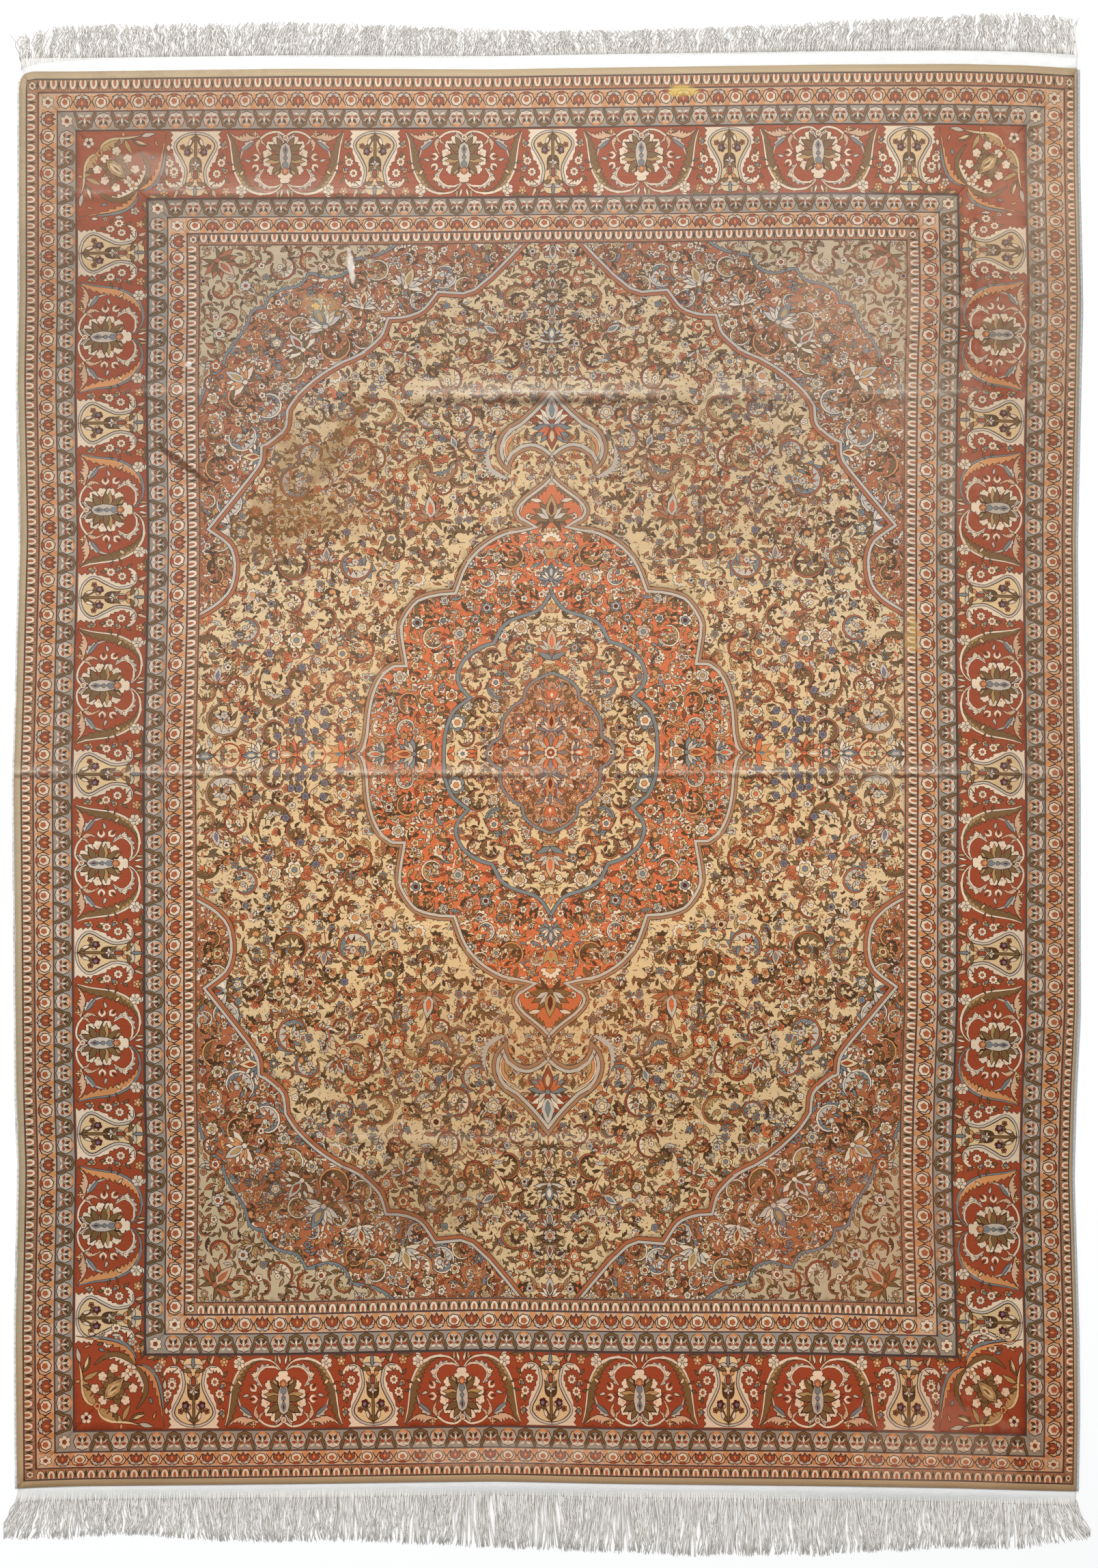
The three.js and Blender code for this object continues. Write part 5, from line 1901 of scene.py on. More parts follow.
    def rose_core(self) -> None:
        """The dusty rose middle with its sixteen-rayed star."""
        m = self.motifs
        outline = oriented(self.core)
        teeth = densify(outline, 6.0)
        barbs = grow(teeth, 2.2)
        fringe = np.stack([teeth, barbs], axis=1).reshape(-1, 2)
        self.pen.knot(Place(), fringe, BLUE, 0.8)
        self.pen.banded(outline, ((2.8, BLUE), (0.9, LINE), (0, ROSE)))
        since = len(self.pen.shapes)
        m.palmette(Place().put(0, 34), 26, BLUE, IVORY, APRICOT, MAROON, BLUE)
        m.tulip(Place().put(0, 78), 18, CORAL, IVORY)
        m.leaf(Place().put(0, 58), 20, 4, BLUE)
        m.palmette(Place().put(32, 0, turn=-90), 22, IVORY, BLUE, CORAL, IVORY, OLIVE)
        m.rosette(Place().put(88, 0), 4.5, IVORY, MAROON, 5)
        m.rosette(Place().put(78, 0), 3.6, APRICOT, BRICK, 5)
        m.curl(Place().put(18, 96, turn=20), 10, DARK_ON_RED, 230, 5)
        m.hook(Place().put(56, 44, turn=40), 14, OLIVE, 5)
        m.hook(Place().put(64, 10, turn=-60), 13, OLIVE, 5)
        m.hook(Place().put(20, 60, turn=-60), 13, OLIVE, 5)
        m.fan(Place().put(34, 30, turn=-45), 10, IVORY, CORAL, 5)
        m.peony(Place().put(48, 50, turn=20), 8, BLUE, CORAL, IVORY, APRICOT)
        for i in range(16):
            ray = Place().put(turn=22.5 * i)
            dye = (BLUE, APRICOT, PEARL, CORAL)[i % 4]
            self.pen.knot(ray.put(y=8), petal(18, 6.4, steps=2), dye, 0.7)
        self.pen.knot(Place(), scallops(9.5, 8, 0.16), IVORY, 0.8)
        self.pen.knot(Place(), disc(5.4, 8), BRICK, 0.7)
        self.pen.knot(Place(), disc(2.2, 6), IVORY, 0.5)
        self.fill(self.core, (disc(27, 12),), ON_ROSE, since, 1.2)

    # -- Spandrels
    def spandrels(self) -> None:
        """The corner pieces: salmon with a double line, and a cream quarter in the very corner."""
        m = self.motifs
        outline = oriented(self.spandrel)
        self.pen.banded(outline, SPANDREL_BANDS)
        since = len(self.pen.shapes)
        self.chart(SPANDREL_CURLS, corner=True)
        corner = Place(-1, 0, 0, -1, FIELD_X, FIELD_Y)
        self.palmettes((
            (300, 66, 200, 30, IVORY, PEARL, CREAM, STRAW, OLIVE),
            (182, 128, 150, 34, PEARL, IVORY, BLUE, STRAW, OLIVE),
            (150, 165, 140, 30, IVORY, OLIVE, PEARL, BRICK, OLIVE),
            (66, 215, 120, 32, IVORY, APRICOT, PEARL, STRAW, OLIVE),
            (90, 330, 90, 28, IVORY, BLUE, CREAM, BRICK, OLIVE),
            (40, 435, 90, 28, PEARL, IVORY, BLUE, BRICK, OLIVE),
            (236, 98, 190, 26, IVORY, PEARL, CREAM, BRICK, OLIVE)), corner)
        for x, y, size, petals, heart in (
                (336, 22, 9, IVORY, OLIVE), (285, 72, 8, STRAW, BRICK), (215, 30, 12, CREAM, OLIVE),
                (250, 130, 9, IVORY, BRICK), (112, 155, 10, BLUE, IVORY), (165, 185, 9, IVORY, BLUE),
                (80, 270, 9, IVORY, BRICK), (125, 225, 9, PEARL, BLUE), (30, 320, 9, IVORY, OLIVE),
                (68, 375, 8, PEARL, BRICK), (18, 430, 8, IVORY, BLUE), (30, 488, 9, STRAW, BRICK),
                (375, 40, 8, IVORY, BRICK), (20, 240, 9, IVORY, STRAW)):
            m.peony(corner.put(x, y, turn=x * 7), size, petals, CREAM, heart, OLIVE)
        beyond = box_outline(FIELD_X, -9, FIELD_X + 9, FIELD_Y)
        self.fill(self.spandrel, (self.corner, beyond), ON_CORAL, since, 1.1)
        self.pen.hoops(outline, SPANDREL_BANDS)
        self.cream_corner(corner)

    def cream_corner(self, corner: Place) -> None:
        """The cream quarter with a blue edge."""
        m = self.motifs
        outline = oriented(self.corner)
        teeth = densify(outline, 7.0)
        inner = np.stack([grow(teeth, -4.2), grow(teeth, -7.4)], axis=1).reshape(-1, 2)
        self.pen.banded(outline, ((0.9, LINE), (0, BLUE)))
        self.pen.knot(Place(), inner, CORNER_CREAM, 0.8)
        since = len(self.pen.shapes)
        self.chart(CORNER_CURLS, corner=True)
        self.palmettes(((26, 24, -45, 34, COPPER, OLIVE, PEACH, COPPER, OLIVE),
                        (80, 78, 135, 24, TAN, STRAW, PEARL, OLIVE, OLIVE)), corner)
        m.rosette(corner.put(66, 64), 8, PEARL, BRICK, 8)
        m.peony(corner.put(180, 34), 9, PEACH, IVORY, BRICK)
        m.peony(corner.put(24, 190), 9, CORAL, IVORY, BRICK)
        m.peony(corner.put(28, 140), 9, PEARL, IVORY, BRICK)
        self.fill(self.corner, (), ON_CREAM, since, 1.2)

    def build(self, cloth: Cloth) -> list[bpy.types.Object]:
        """Builds the slabs of the field."""
        patches = Cutter(self.pen.shapes, [self.region, self.medallion, self.spandrel, self.crown]).cut()
        medallion, spandrel, crown = patches.regions[1:]
        pendant = crown & ~medallion
        open_ground = ~(medallion | spandrel | pendant)
        made = []
        mirrors = {"upper": 1, "lower": -1}
        whole = patches.part(medallion, ((1, 1), (-1, 1), (1, -1), (-1, -1)))
        made.append(pile_slab("medallion", cloth, whole))
        for name, end in mirrors.items():
            made.append(pile_slab(f"field_{name}", cloth,
                                  patches.part(open_ground & ~pendant, ((1, end), (-1, end)))))
            made.append(pile_slab(f"pendant_{name}", cloth, patches.part(pendant, ((1, end), (-1, end)))))
            for side, word in ((-1, "left"), (1, "right")):
                made.append(pile_slab(f"spandrel_{name}_{word}", cloth,
                                      patches.part(spandrel, ((side, end),))))
        for piece in made:
            log.info("%s: %d faces", piece.name, len(piece.data.polygons))
        return made


# ---- Finishes ------------------------------------------------------------------------------------
@dataclass(frozen=True)
class Wire:
    """One output of a shader node, which takes part in sums as a number would."""

    shop: "Workshop"
    socket: bpy.types.NodeSocket

    def sum(self, operation: str, *others: "float | Wire", clamp: bool = False) -> "Wire":
        """One Math node over this and others."""
        return self.shop.node("ShaderNodeMath", {"operation": operation, "use_clamp": clamp},
                              [self, *others])

    def __add__(self, other: "float | Wire") -> "Wire":
        """Sum."""
        return self.sum("ADD", other)

    def __radd__(self, other: float) -> "Wire":
        """Sum with a number in front."""
        return self.sum("ADD", other)

    def __sub__(self, other: "float | Wire") -> "Wire":
        """Difference."""
        return self.sum("SUBTRACT", other)

    def __rsub__(self, other: float) -> "Wire":
        """Difference from a number."""
        return (self * -1.0) + other

    def __mul__(self, other: "float | Wire") -> "Wire":
        """Product."""
        return self.sum("MULTIPLY", other)

    def __rmul__(self, other: float) -> "Wire":
        """Product with a number in front."""
        return self.sum("MULTIPLY", other)

    def __truediv__(self, other: "float | Wire") -> "Wire":
        """Quotient."""
        return self.sum("DIVIDE", other)

    def __abs__(self) -> "Wire":
        """Size without sign."""
        return self.sum("ABSOLUTE")

    def soft_step(self, low: float, high: float) -> "Wire":
        """0 below low and 1 above high, with a smooth rise between."""
        return self.shop.node("ShaderNodeMapRange", {"interpolation_type": "SMOOTHSTEP", "clamp": True},
                              [self, low, high, 0.0, 1.0])

    def near(self, at: float, half: float) -> "Wire":
        """1 at a value, falling smoothly to 0 at half a width away."""
        return 1.0 - abs(self - at).soft_step(0.0, half)


class Workshop:
    """Builds one material's nodes."""

    def __init__(self, name: str) -> None:
        """Starts a material with an empty Principled surface."""
        self.material = bpy.data.materials.new(name)
        self.material.use_nodes = True
        self.tree = self.material.node_tree
        self.surface = self.tree.nodes["Principled BSDF"]

    def node(self, kind: str, settings: dict[str, object] | None = None,
             values: Sequence[object] | dict[str, object] = (), output: int | str = 0) -> Wire:
        """Adds a node.

        Args:
            kind: Its type.
            settings: Its own properties.
            values: Its inputs in order, or by name; a Wire is linked and None is left alone.
            output: Which of its outputs is wanted.

        Returns:
            That output.
        """
        made = self.tree.nodes.new(kind)
        for name, value in (settings or {}).items():
            setattr(made, name, value)
        pairs = values.items() if isinstance(values, dict) else enumerate(values)
        for key, value in pairs:
            self.set(made.inputs[key], value)
        return Wire(self, made.outputs[output])

    def set(self, socket: bpy.types.NodeSocket, value: object) -> None:
        """Links a Wire to a socket, or sets its value."""
        if isinstance(value, Wire):
            self.tree.links.new(value.socket, socket)
        elif value is not None:
            socket.default_value = value

    def finish(self, **values: object) -> bpy.types.Material:
        """Sets the surface's inputs, with spaces written as underscores, and returns the material."""
        for name, value in values.items():
            self.set(self.surface.inputs[name.replace("_", " ")], value)
        return self.material

    def blend(self, share: "float | Wire", under: object, over: object, mode: str = "MIX") -> Wire:
        """Mixes two colours."""
        made = self.node("ShaderNodeMix", {"data_type": "RGBA", "blend_type": mode}, (), 2).socket.node
        self.set(made.inputs[0], share)
        self.set(made.inputs[6], under)
        self.set(made.inputs[7], over)
        return Wire(self, made.outputs[2])

    def tint(self, colour: object, light: Wire) -> Wire:
        """A colour made lighter or darker by a number."""
        return self.node("ShaderNodeVectorMath", {"operation": "SCALE"}, {"Vector": colour, "Scale": light})

    def place(self) -> tuple[Wire, ...]:
        """The object's own coordinates, as three numbers."""
        return self.split("ShaderNodeSeparateXYZ", self.node("ShaderNodeTexCoord", output="Object"), 3)

    def split(self, kind: str, whole: Wire, count: int) -> tuple[Wire, ...]:
        """The first parts of a vector or a colour, as numbers."""
        outputs = self.node(kind, values=[whole]).socket.node.outputs
        return tuple(Wire(self, outputs[i]) for i in range(count))

    def noise(self, across: float, along: float, detail: float = 2.0, rough: float = 0.5,
              seed: float = 0.0) -> Wire:
        """Cloudy noise about 0, with its own grain across and along the rug."""
        where = self.node("ShaderNodeTexCoord", output="Object")
        spot = self.node("ShaderNodeMapping", {"vector_type": "POINT"},
                         [where, (seed, seed * 1.7, 0.0), None, (across, along, across)])
        return self.node("ShaderNodeTexNoise", {}, {"Vector": spot, "Scale": 1.0, "Detail": detail,
                                                    "Roughness": rough}) - 0.5

    def bump(self, height: Wire, strength: float, distance: float) -> Wire:
        """A bump from a height."""
        return self.node("ShaderNodeBump", {}, {"Strength": strength, "Distance": distance,
                                                "Height": height})


def rgb(red: float, green: float, blue: float) -> tuple[float, float, float, float]:
    """A scene-linear colour from daylight values in 0 to 255."""
    parts = [v / 255.0 for v in (red, green, blue)]
    red, green, blue = (v / 12.92 if v <= 0.04045 else ((v + 0.055) / 1.055) ** 2.4 for v in parts)
    return red, green, blue, 1.0


@dataclass(frozen=True)
class WearAndLight:
    """What the painted light of the fold lines, the wear and the stained spots follow on the pile.

    Attributes:
        shop: The material's workshop.
        across: The place across the rug.
        along: The place along it.
        ragged: Uneven noise, which frays every edge.
        frost: 1 where the tips of the pile catch the light.
    """

    shop: Workshop
    across: Wire
    along: Wire
    ragged: Wire
    frost: Wire


@dataclass(frozen=True)
class FoldLight:
    """A fold line's painted light: a thin painted highlight streak, a paler painted glow above it and a
    painted shade line below.

    Attributes:
        at: Where it lies, in metres along the rug.
        half: Half the width of the paler band.
        share: How strongly it lays its painted highlight and painted shade.
        left: Where it starts across the rug.
        right: Where it ends.
        slope: How much it climbs from left to right.
    """

    at: float
    half: float
    share: float
    left: float = -0.80
    right: float = 0.80
    slope: float = 0.0

    def over(self, wear: WearAndLight, tone: Wire) -> Wire:
        """Lays the fold line's painted highlight and painted shade over a tone."""
        spot = wear.along + wear.ragged * self.half * 0.5 + wear.across * self.slope
        started = wear.across.soft_step(self.left - 0.05, self.left + 0.05)
        ended = wear.across.soft_step(self.right - 0.05, self.right + 0.05)
        patchy = (wear.shop.noise(5.0, 1.0, 2, 0.6, self.at * 40) + 0.5).soft_step(0.3, 0.6)
        broken = patchy * (started * (1.0 - ended)) * self.share
        # glow and streak are a painted highlight along the fold; shade is a painted shade line just below it
        glow = spot.near(self.at + self.half * 0.4, self.half * 1.5) * 0.4
        streak = spot.near(self.at, self.half * 0.35) * 0.7
        pale = (glow + streak) * broken * (0.35 + wear.frost * 0.65)
        shade = spot.near(self.at - self.half * 0.85, self.half * 0.6) * broken
        return wear.shop.blend(shade, wear.shop.blend(pale, tone, rgb(232, 222, 206)), rgb(70, 48, 36))


@dataclass(frozen=True)
class StainAndHighlight:
    """A ragged spot of another tone.

    Attributes:
        x: Its middle across, in metres.
        y: Its middle along.
        wide: Half its width.
        long: Half its length.
        colour: What it is mixed with.
        share: How far.
        lean: How far it shifts across for each metre along.
    """

    x: float
    y: float
    wide: float
    long: float
    colour: tuple[float, float, float, float]
    share: float
    lean: float = 0.0

    def over(self, wear: WearAndLight, tone: Wire) -> Wire:
        """Lays the spot over a tone, with a frayed edge."""
        up = wear.along - self.y
        off_y = up / self.long
        off_x = (wear.across - self.x - up * self.lean) / self.wide
        cover = 1.0 - (off_x * off_x + off_y * off_y + wear.ragged * 2.2).soft_step(0.2, 1.2)
        return wear.shop.blend(cover * self.share, tone, self.colour)


@dataclass(frozen=True)
class Sprig:
    """A kind of small leaf or flower strewn over bare ground.

    Attributes:
        scale: How many lie along one metre.
        seed: Which scatter is used.
        reach: Its size from the middle, in metres.
        hook: How far it curls in on itself, 0 for a flower.
        lobes: Notches or petals round its edge.
        notch: How deep they are.
        heart: The share of its size its inner part takes up.
        share: How much of the ground carries one.
        on_cream: Dyes on the cream ground.
        on_red: Dyes on the red one.
        hearts: Dyes of the inner part.
    """

    scale: float
    seed: float
    reach: float
    hook: float
    lobes: int
    notch: float
    heart: float
    share: float
    on_cream: tuple[Dye, ...]
    on_red: tuple[Dye, ...]
    hearts: tuple[Dye, ...]


SPRIGS = (
    Sprig(33.0, 2.0, 0.0135, 0.66, 10, 0.09, 0.52, 0.56, (OLIVE, COPPER, IVORY, DARK_OLIVE, CORAL),
          (OLIVE, IVORY, DARK_OLIVE, PEARL), (STRAW, DARK_OLIVE, CREAM, APRICOT)),
    Sprig(64.0, 7.0, 0.0062, 0.0, 5, 0.16, 0.42, 0.36, (PEARL, APRICOT, BLUE, CORAL),
          (IVORY, APRICOT, PEARL, CREAM), (BRICK, BLUE, COPPER)))


@dataclass(frozen=True)
class Leafage:
    """A layer of loose small leaves.

    Attributes:
        scale: How many lie along one metre.
        seed: Which scatter is used.
        twist: How much they are bent.
        on_cream: How sparse they are on the cream ground.
        on_red: How sparse they are on the red one.
        cream: Their two dyes on cream.
        red: Their two dyes on red.
    """

    scale: float
    seed: float
    twist: float
    on_cream: float
    on_red: float
    cream: tuple[Dye, Dye]
    red: tuple[Dye, Dye]


LEAFAGES = (
    Leafage(96.0, 1.0, 1.6, 0.142, 0.136, (OLIVE, DARK_OLIVE), (OLIVE, DARK_OLIVE)),
    Leafage(122.0, 2.0, 1.2, 0.190, 0.112, (APRICOT, PEARL), (IVORY, CREAM)),
    Leafage(112.0, 3.0, 1.6, 0.172, 0.170, (COPPER, BRICK), (APRICOT, BLUE)))


class Undergrowth:
    """The finest leaves and flowers, which fill bare grounds and are mirrored as the large ones are."""

    AXIS = (0.0055, 0.044)          # the field's middle
    SPREAD = (0.75, 2.2, 0.025)     # how the drawing stretches towards the ends, as the cloth does

    def __init__(self, shop: Workshop, across: Wire, along: Wire, figure: Wire) -> None:
        """Sets out the mirrored ground.

        Args:
            shop: The material's workshop.
            across: The place across the rug.
            along: The place along it.
            figure: 1 on a cream ground, 0.5 on a red one, 0 elsewhere.
        """
        reach, power, stretch = self.SPREAD
        up = along - self.AXIS[1]
        up = up + (abs(up) / reach).sum("POWER", power) * stretch
        self.shop = shop
        self.spot = shop.node("ShaderNodeCombineXYZ", {}, [abs(across - self.AXIS[0]), abs(up), 0.0])
        self.is_cream = figure.soft_step(0.74, 0.76)
        self.shown = figure.soft_step(0.24, 0.26)

    def over(self, dye: Wire) -> Wire:
        """The ground with all its fine leaves."""
        lots = self.heights(46.0, 5.0, 0.0)
        for layer in LEAFAGES:
            dye = self.loose(dye, layer, lots)
        for sprig in SPRIGS:
            dye = self.strewn(dye, sprig)
        return dye

    def shifted(self, seed: float, third: float) -> Wire:
        """The mirrored place, moved so that each layer has its own scatter."""
        return self.shop.node("ShaderNodeMapping", {"vector_type": "POINT"},
                              [self.spot, (seed, seed * 1.3, third)])

    def heights(self, scale: float, seed: float, twist: float) -> Wire:
        """Soft noise about 0."""
        return self.shop.node("ShaderNodeTexNoise", {}, {
            "Vector": self.shifted(seed, seed), "Scale": scale, "Detail": 1.0, "Roughness": 0.4,
            "Distortion": twist}) - 0.5

    def loose(self, dye: Wire, layer: Leafage, lots: Wire) -> Wire:
        """Lays one layer of loose leaves, each with a dark line round it."""
        start = self.is_cream * (layer.on_cream - layer.on_red) + layer.on_red
        height = self.heights(layer.scale, layer.seed, layer.twist) - start
        turn = 0.03 - 0.02 * layer.seed
        other = lots.soft_step(turn, turn + 0.01)
        cream, red = (self.shop.blend(other, first.full(), last.full())
                      for first, last in (layer.cream, layer.red))
        dye = self.shop.blend(height.soft_step(-0.004, 0.008) * self.shown * 0.85, dye, LINE.full())
        leaf = height.soft_step(0.020, 0.032) * self.shown
        return self.shop.blend(leaf, dye, self.shop.blend(self.is_cream, red, cream))

    def picked(self, under: Wire, share: Wire, lot: Wire, dyes: Sequence[Dye]) -> Wire:
        """Lays one of several dyes, picked by a number from 0 to 1."""
        over: object = dyes[0].full()
        for turn, dye in enumerate(dyes[1:], start=1):
            at = turn / len(dyes)
            over = self.shop.blend(lot.soft_step(at - 0.005, at + 0.005), over, dye.full())
        return self.shop.blend(share, under, over)

    def strewn(self, under: Wire, sprig: Sprig) -> Wire:
        """Lays one kind of sprig: its line, its body, and its inner part with a line of its own."""
        shop = self.shop
        moved = self.shifted(sprig.seed, 0.0)
        cell = shop.node("ShaderNodeTexVoronoi", {"voronoi_dimensions": "2D"},
                         {"Vector": moved, "Scale": sprig.scale, "Randomness": 0.72}).socket.node
        off = shop.node("ShaderNodeVectorMath", {"operation": "SUBTRACT"},
                        [moved, Wire(shop, cell.outputs["Position"])])
        off_x, off_y = shop.split("ShaderNodeSeparateXYZ", off, 2)
        lot, second = shop.split("ShaderNodeSeparateColor", Wire(shop, cell.outputs["Color"]), 2)
        turn = (off_y.sum("ARCTAN2", off_x) / FULL + lot * 5.0).sum("FRACT")
        away = (off_x * off_x + off_y * off_y).sum("SQRT")
        lobes = (turn * (FULL * sprig.lobes)).sum("COSINE") * sprig.notch
        edge = (turn * sprig.hook + (1.0 - sprig.hook) + lobes) * sprig.reach
        seen = self.shown * second.soft_step(1.0 - sprig.share, 1.01 - sprig.share)
        deep, inner = edge - away, edge * sprig.heart - away
        done = shop.blend(deep.soft_step(-0.0002, 0.0004) * seen * 0.9, under, LINE.full())
        body = deep.soft_step(0.0009, 0.0015) * seen
        done = self.picked(done, body * self.is_cream, lot, sprig.on_cream)
        done = self.picked(done, body * (1.0 - self.is_cream), lot, sprig.on_red)
        done = shop.blend(inner.soft_step(-0.0006, 0.0) * seen * 0.8, done, LINE.full())
        return self.picked(done, inner.soft_step(0.0004, 0.0010) * seen, second * 3.0 - lot, sprig.hearts)


@dataclass(frozen=True)
class SilkPile:
    """Cut silk pile in its dyes, with uneven fading and painted light on its nap, painted highlights and
    painted shade along its fold lines, and stained spots.

    Attributes:
        fade_and_light: What the dyes are mixed towards, more so higher up the rug: partly fading, partly
            painted light on the nap.
        fold_lights: The painted highlights and painted shade along the fold lines.
        spots_and_highlight: Stained spots, scuffs, paler or darker places, and a painted highlight on the
            fold at the upper left corner.
    """

    fade_and_light: tuple[float, float, float, float] = (0.46, 0.365, 0.295, 1.0)
    fold_lights: tuple[FoldLight, ...] = (
        FoldLight(0.574, 0.016, 0.62, -0.30, 0.62), FoldLight(0.576, 0.014, 0.30, -0.60, -0.30),
        FoldLight(0.018, 0.008, 0.60), FoldLight(0.868, 0.016, 0.42, -0.70, -0.20),
        FoldLight(0.862, 0.014, 0.22, 0.1, 0.5),
        FoldLight(-0.52, 0.012, 0.26, -0.35, 0.1, 0.02))
    spots_and_highlight: tuple[StainAndHighlight, ...] = (
        StainAndHighlight(0.0, 0.40, 0.09, 0.07, rgb(246, 214, 190), 0.04),
        StainAndHighlight(0.44, 0.62, 0.13, 0.16, rgb(238, 196, 150), 0.04),
        StainAndHighlight(-0.43, 0.62, 0.13, 0.16, rgb(238, 200, 170), 0.015),
        StainAndHighlight(0.0, 0.17, 0.16, 0.07, rgb(240, 214, 190), 0.03),
        StainAndHighlight(0.0055, 0.044, 0.11, 0.12, rgb(180, 84, 46), 0.16),
        StainAndHighlight(-0.50, 0.93, 0.24, 0.12, rgb(112, 82, 64), 0.17),
        StainAndHighlight(-0.70, 0.90, 0.10, 0.22, rgb(112, 82, 64), 0.10),
        StainAndHighlight(-0.62, 0.06, 0.15, 0.20, rgb(110, 82, 64), 0.10),
        StainAndHighlight(0.74, 0.0, 0.10, 0.40, rgb(110, 82, 64), 0.08),
        StainAndHighlight(0.74, 0.78, 0.13, 0.24, rgb(236, 206, 178), 0.10),
        StainAndHighlight(0.57, 0.53, 0.09, 0.20, rgb(236, 206, 178), 0.05),
        StainAndHighlight(0.02, -0.33, 0.20, 0.12, rgb(196, 112, 60), 0.11),
        StainAndHighlight(0.44, -0.64, 0.20, 0.13, rgb(190, 104, 56), 0.12),
        StainAndHighlight(-0.30, 0.10, 0.12, 0.14, rgb(236, 206, 178), 0.04),
        StainAndHighlight(0.57, -1.0, 0.12, 0.12, rgb(236, 206, 178), 0.08),
        StainAndHighlight(-0.305, 0.497, 0.020, 0.080, rgb(118, 78, 36), 0.46, 0.57),
        StainAndHighlight(-0.384, 0.385, 0.085, 0.060, rgb(138, 92, 44), 0.38, 0.4),
        StainAndHighlight(-0.379, 0.480, 0.022, 0.060, rgb(120, 80, 40), 0.34, 0.1),
        StainAndHighlight(-0.533, 0.470, 0.009, 0.042, rgb(80, 50, 30), 0.8, -1.24),
        StainAndHighlight(-0.32, 0.45, 0.12, 0.11, rgb(140, 100, 60), 0.22),
        StainAndHighlight(0.46, 0.71, 0.14, 0.09, rgb(226, 190, 162), 0.10),
        StainAndHighlight(0.22, 0.45, 0.22, 0.16, rgb(130, 104, 84), 0.14),
        StainAndHighlight(-0.16, -0.42, 0.20, 0.13, rgb(128, 90, 60), 0.13),
        StainAndHighlight(-0.188, -0.602, 0.12, 0.07, rgb(96, 66, 44), 0.30),
        StainAndHighlight(-0.36, -0.60, 0.10, 0.05, rgb(96, 62, 40), 0.28),
        StainAndHighlight(-0.335, 0.699, 0.005, 0.006, rgb(244, 190, 96), 0.6),
        StainAndHighlight(-0.330, 0.70, 0.030, 0.022, rgb(200, 180, 130), 0.25),
        StainAndHighlight(0.2, 1.013, 0.022, 0.010, rgb(226, 196, 96), 0.55),
        StainAndHighlight(0.536, 0.217, 0.012, 0.035, rgb(206, 168, 96), 0.45),
        StainAndHighlight(-0.284, 0.757, 0.005, 0.030, rgb(242, 234, 222), 0.62, -0.14),
        StainAndHighlight(-0.522, 0.614, 0.006, 0.005, rgb(236, 228, 216), 0.6),
        # a painted highlight where the fold crosses the upper left corner of the main border
        StainAndHighlight(-0.58, 0.905, 0.09, 0.018, rgb(236, 214, 196), 0.14),
        StainAndHighlight(-0.06, -0.982, 0.19, 0.02, rgb(226, 216, 196), 0.12))

    def build(self) -> bpy.types.Material:
        """Builds the material."""
        shop = Workshop("silk_pile")
        across, along, _ = shop.place()
        source = shop.node("ShaderNodeAttribute", {"attribute_name": "dye"}, output="Color").socket.node
        leaves = Undergrowth(shop, across, along, Wire(shop, source.outputs["Alpha"]))
        dye = leaves.over(Wire(shop, source.outputs["Color"]))
        clouds = shop.noise(3.1, 3.4, 3, 0.55)
        streaks = shop.noise(7.0, 300.0, 2, 0.6, 3.0)
        broad = shop.noise(1.1, 34.0, 2, 0.5, 7.0)
        knots = shop.noise(850.0, 850.0, 1, 0.5, 1.0)
        ragged = shop.noise(16.0, 30.0, 3, 0.6, 11.0) + shop.noise(90.0, 70.0, 2, 0.6, 4.0) * 0.8
        # paler towards the top: partly fading, partly painted light on the nap
        faded_and_lit = shop.blend(along * 0.16 + 0.05 + clouds * 0.12, dye, self.fade_and_light)
        light = 0.82 + clouds * 0.16 + streaks * 0.20 + broad * 0.14 + knots * 0.22
        # painted light and shade on the nap, then the narrow borders at the left and bottom made darker
        light = light * self.nap_light(across, along) * self.guard_shade(across, along)
        tone = self.tinted_by_place(shop, across, along, shop.tint(faded_and_lit, light))
        wear = WearAndLight(shop, across, along, ragged, (knots + streaks).soft_step(-0.12, 0.22))
        # painted highlights and shade of the fold lines first, then the stained spots and one painted
        # highlight
        for mark in (*self.fold_lights, *self.spots_and_highlight):
            tone = mark.over(wear, tone)
        rough = 0.66 + streaks * 0.2 + clouds * 0.1
        bump = shop.bump(knots + streaks * 0.6, 0.35, 0.0012)
        return shop.finish(Base_Color=tone, Roughness=rough, Normal=bump, Specular_IOR_Level=0.10)

    @staticmethod
    def middle(across: Wire, along: Wire) -> Wire:
        """1 in the middle of the rug, falling off towards its sides and ends."""
        return 1.0 - abs(across).soft_step(0.1, 0.8) * 0.5 - abs(along).soft_step(0.2, 1.1) * 0.5

    @staticmethod
    def inside(along: Wire) -> Wire:
        """1 between the end borders and 0 on them."""
        return 1.0 - abs(along).soft_step(0.76, 0.86)

    def nap_light(self, across: Wire, along: Wire) -> Wire:
        """Painted light and shade: how bright the silk looks from place to place as light falls on its
        turning nap, lighter in the middle and darker towards the ends.
        """
        ends = abs(along).soft_step(0.22, 0.70) * self.inside(along) * 0.12
        top = along.soft_step(0.76, 0.86) * 0.07
        right = across.soft_step(0.2, 0.8) * 0.04 - across.soft_step(0.66, 0.72) * 0.06
        low = along.near(-0.77, 0.12) * 0.05 - along.near(-0.40, 0.24) * 0.08
        return 0.965 + self.middle(across, along) * 0.135 + right - (ends - top) + low

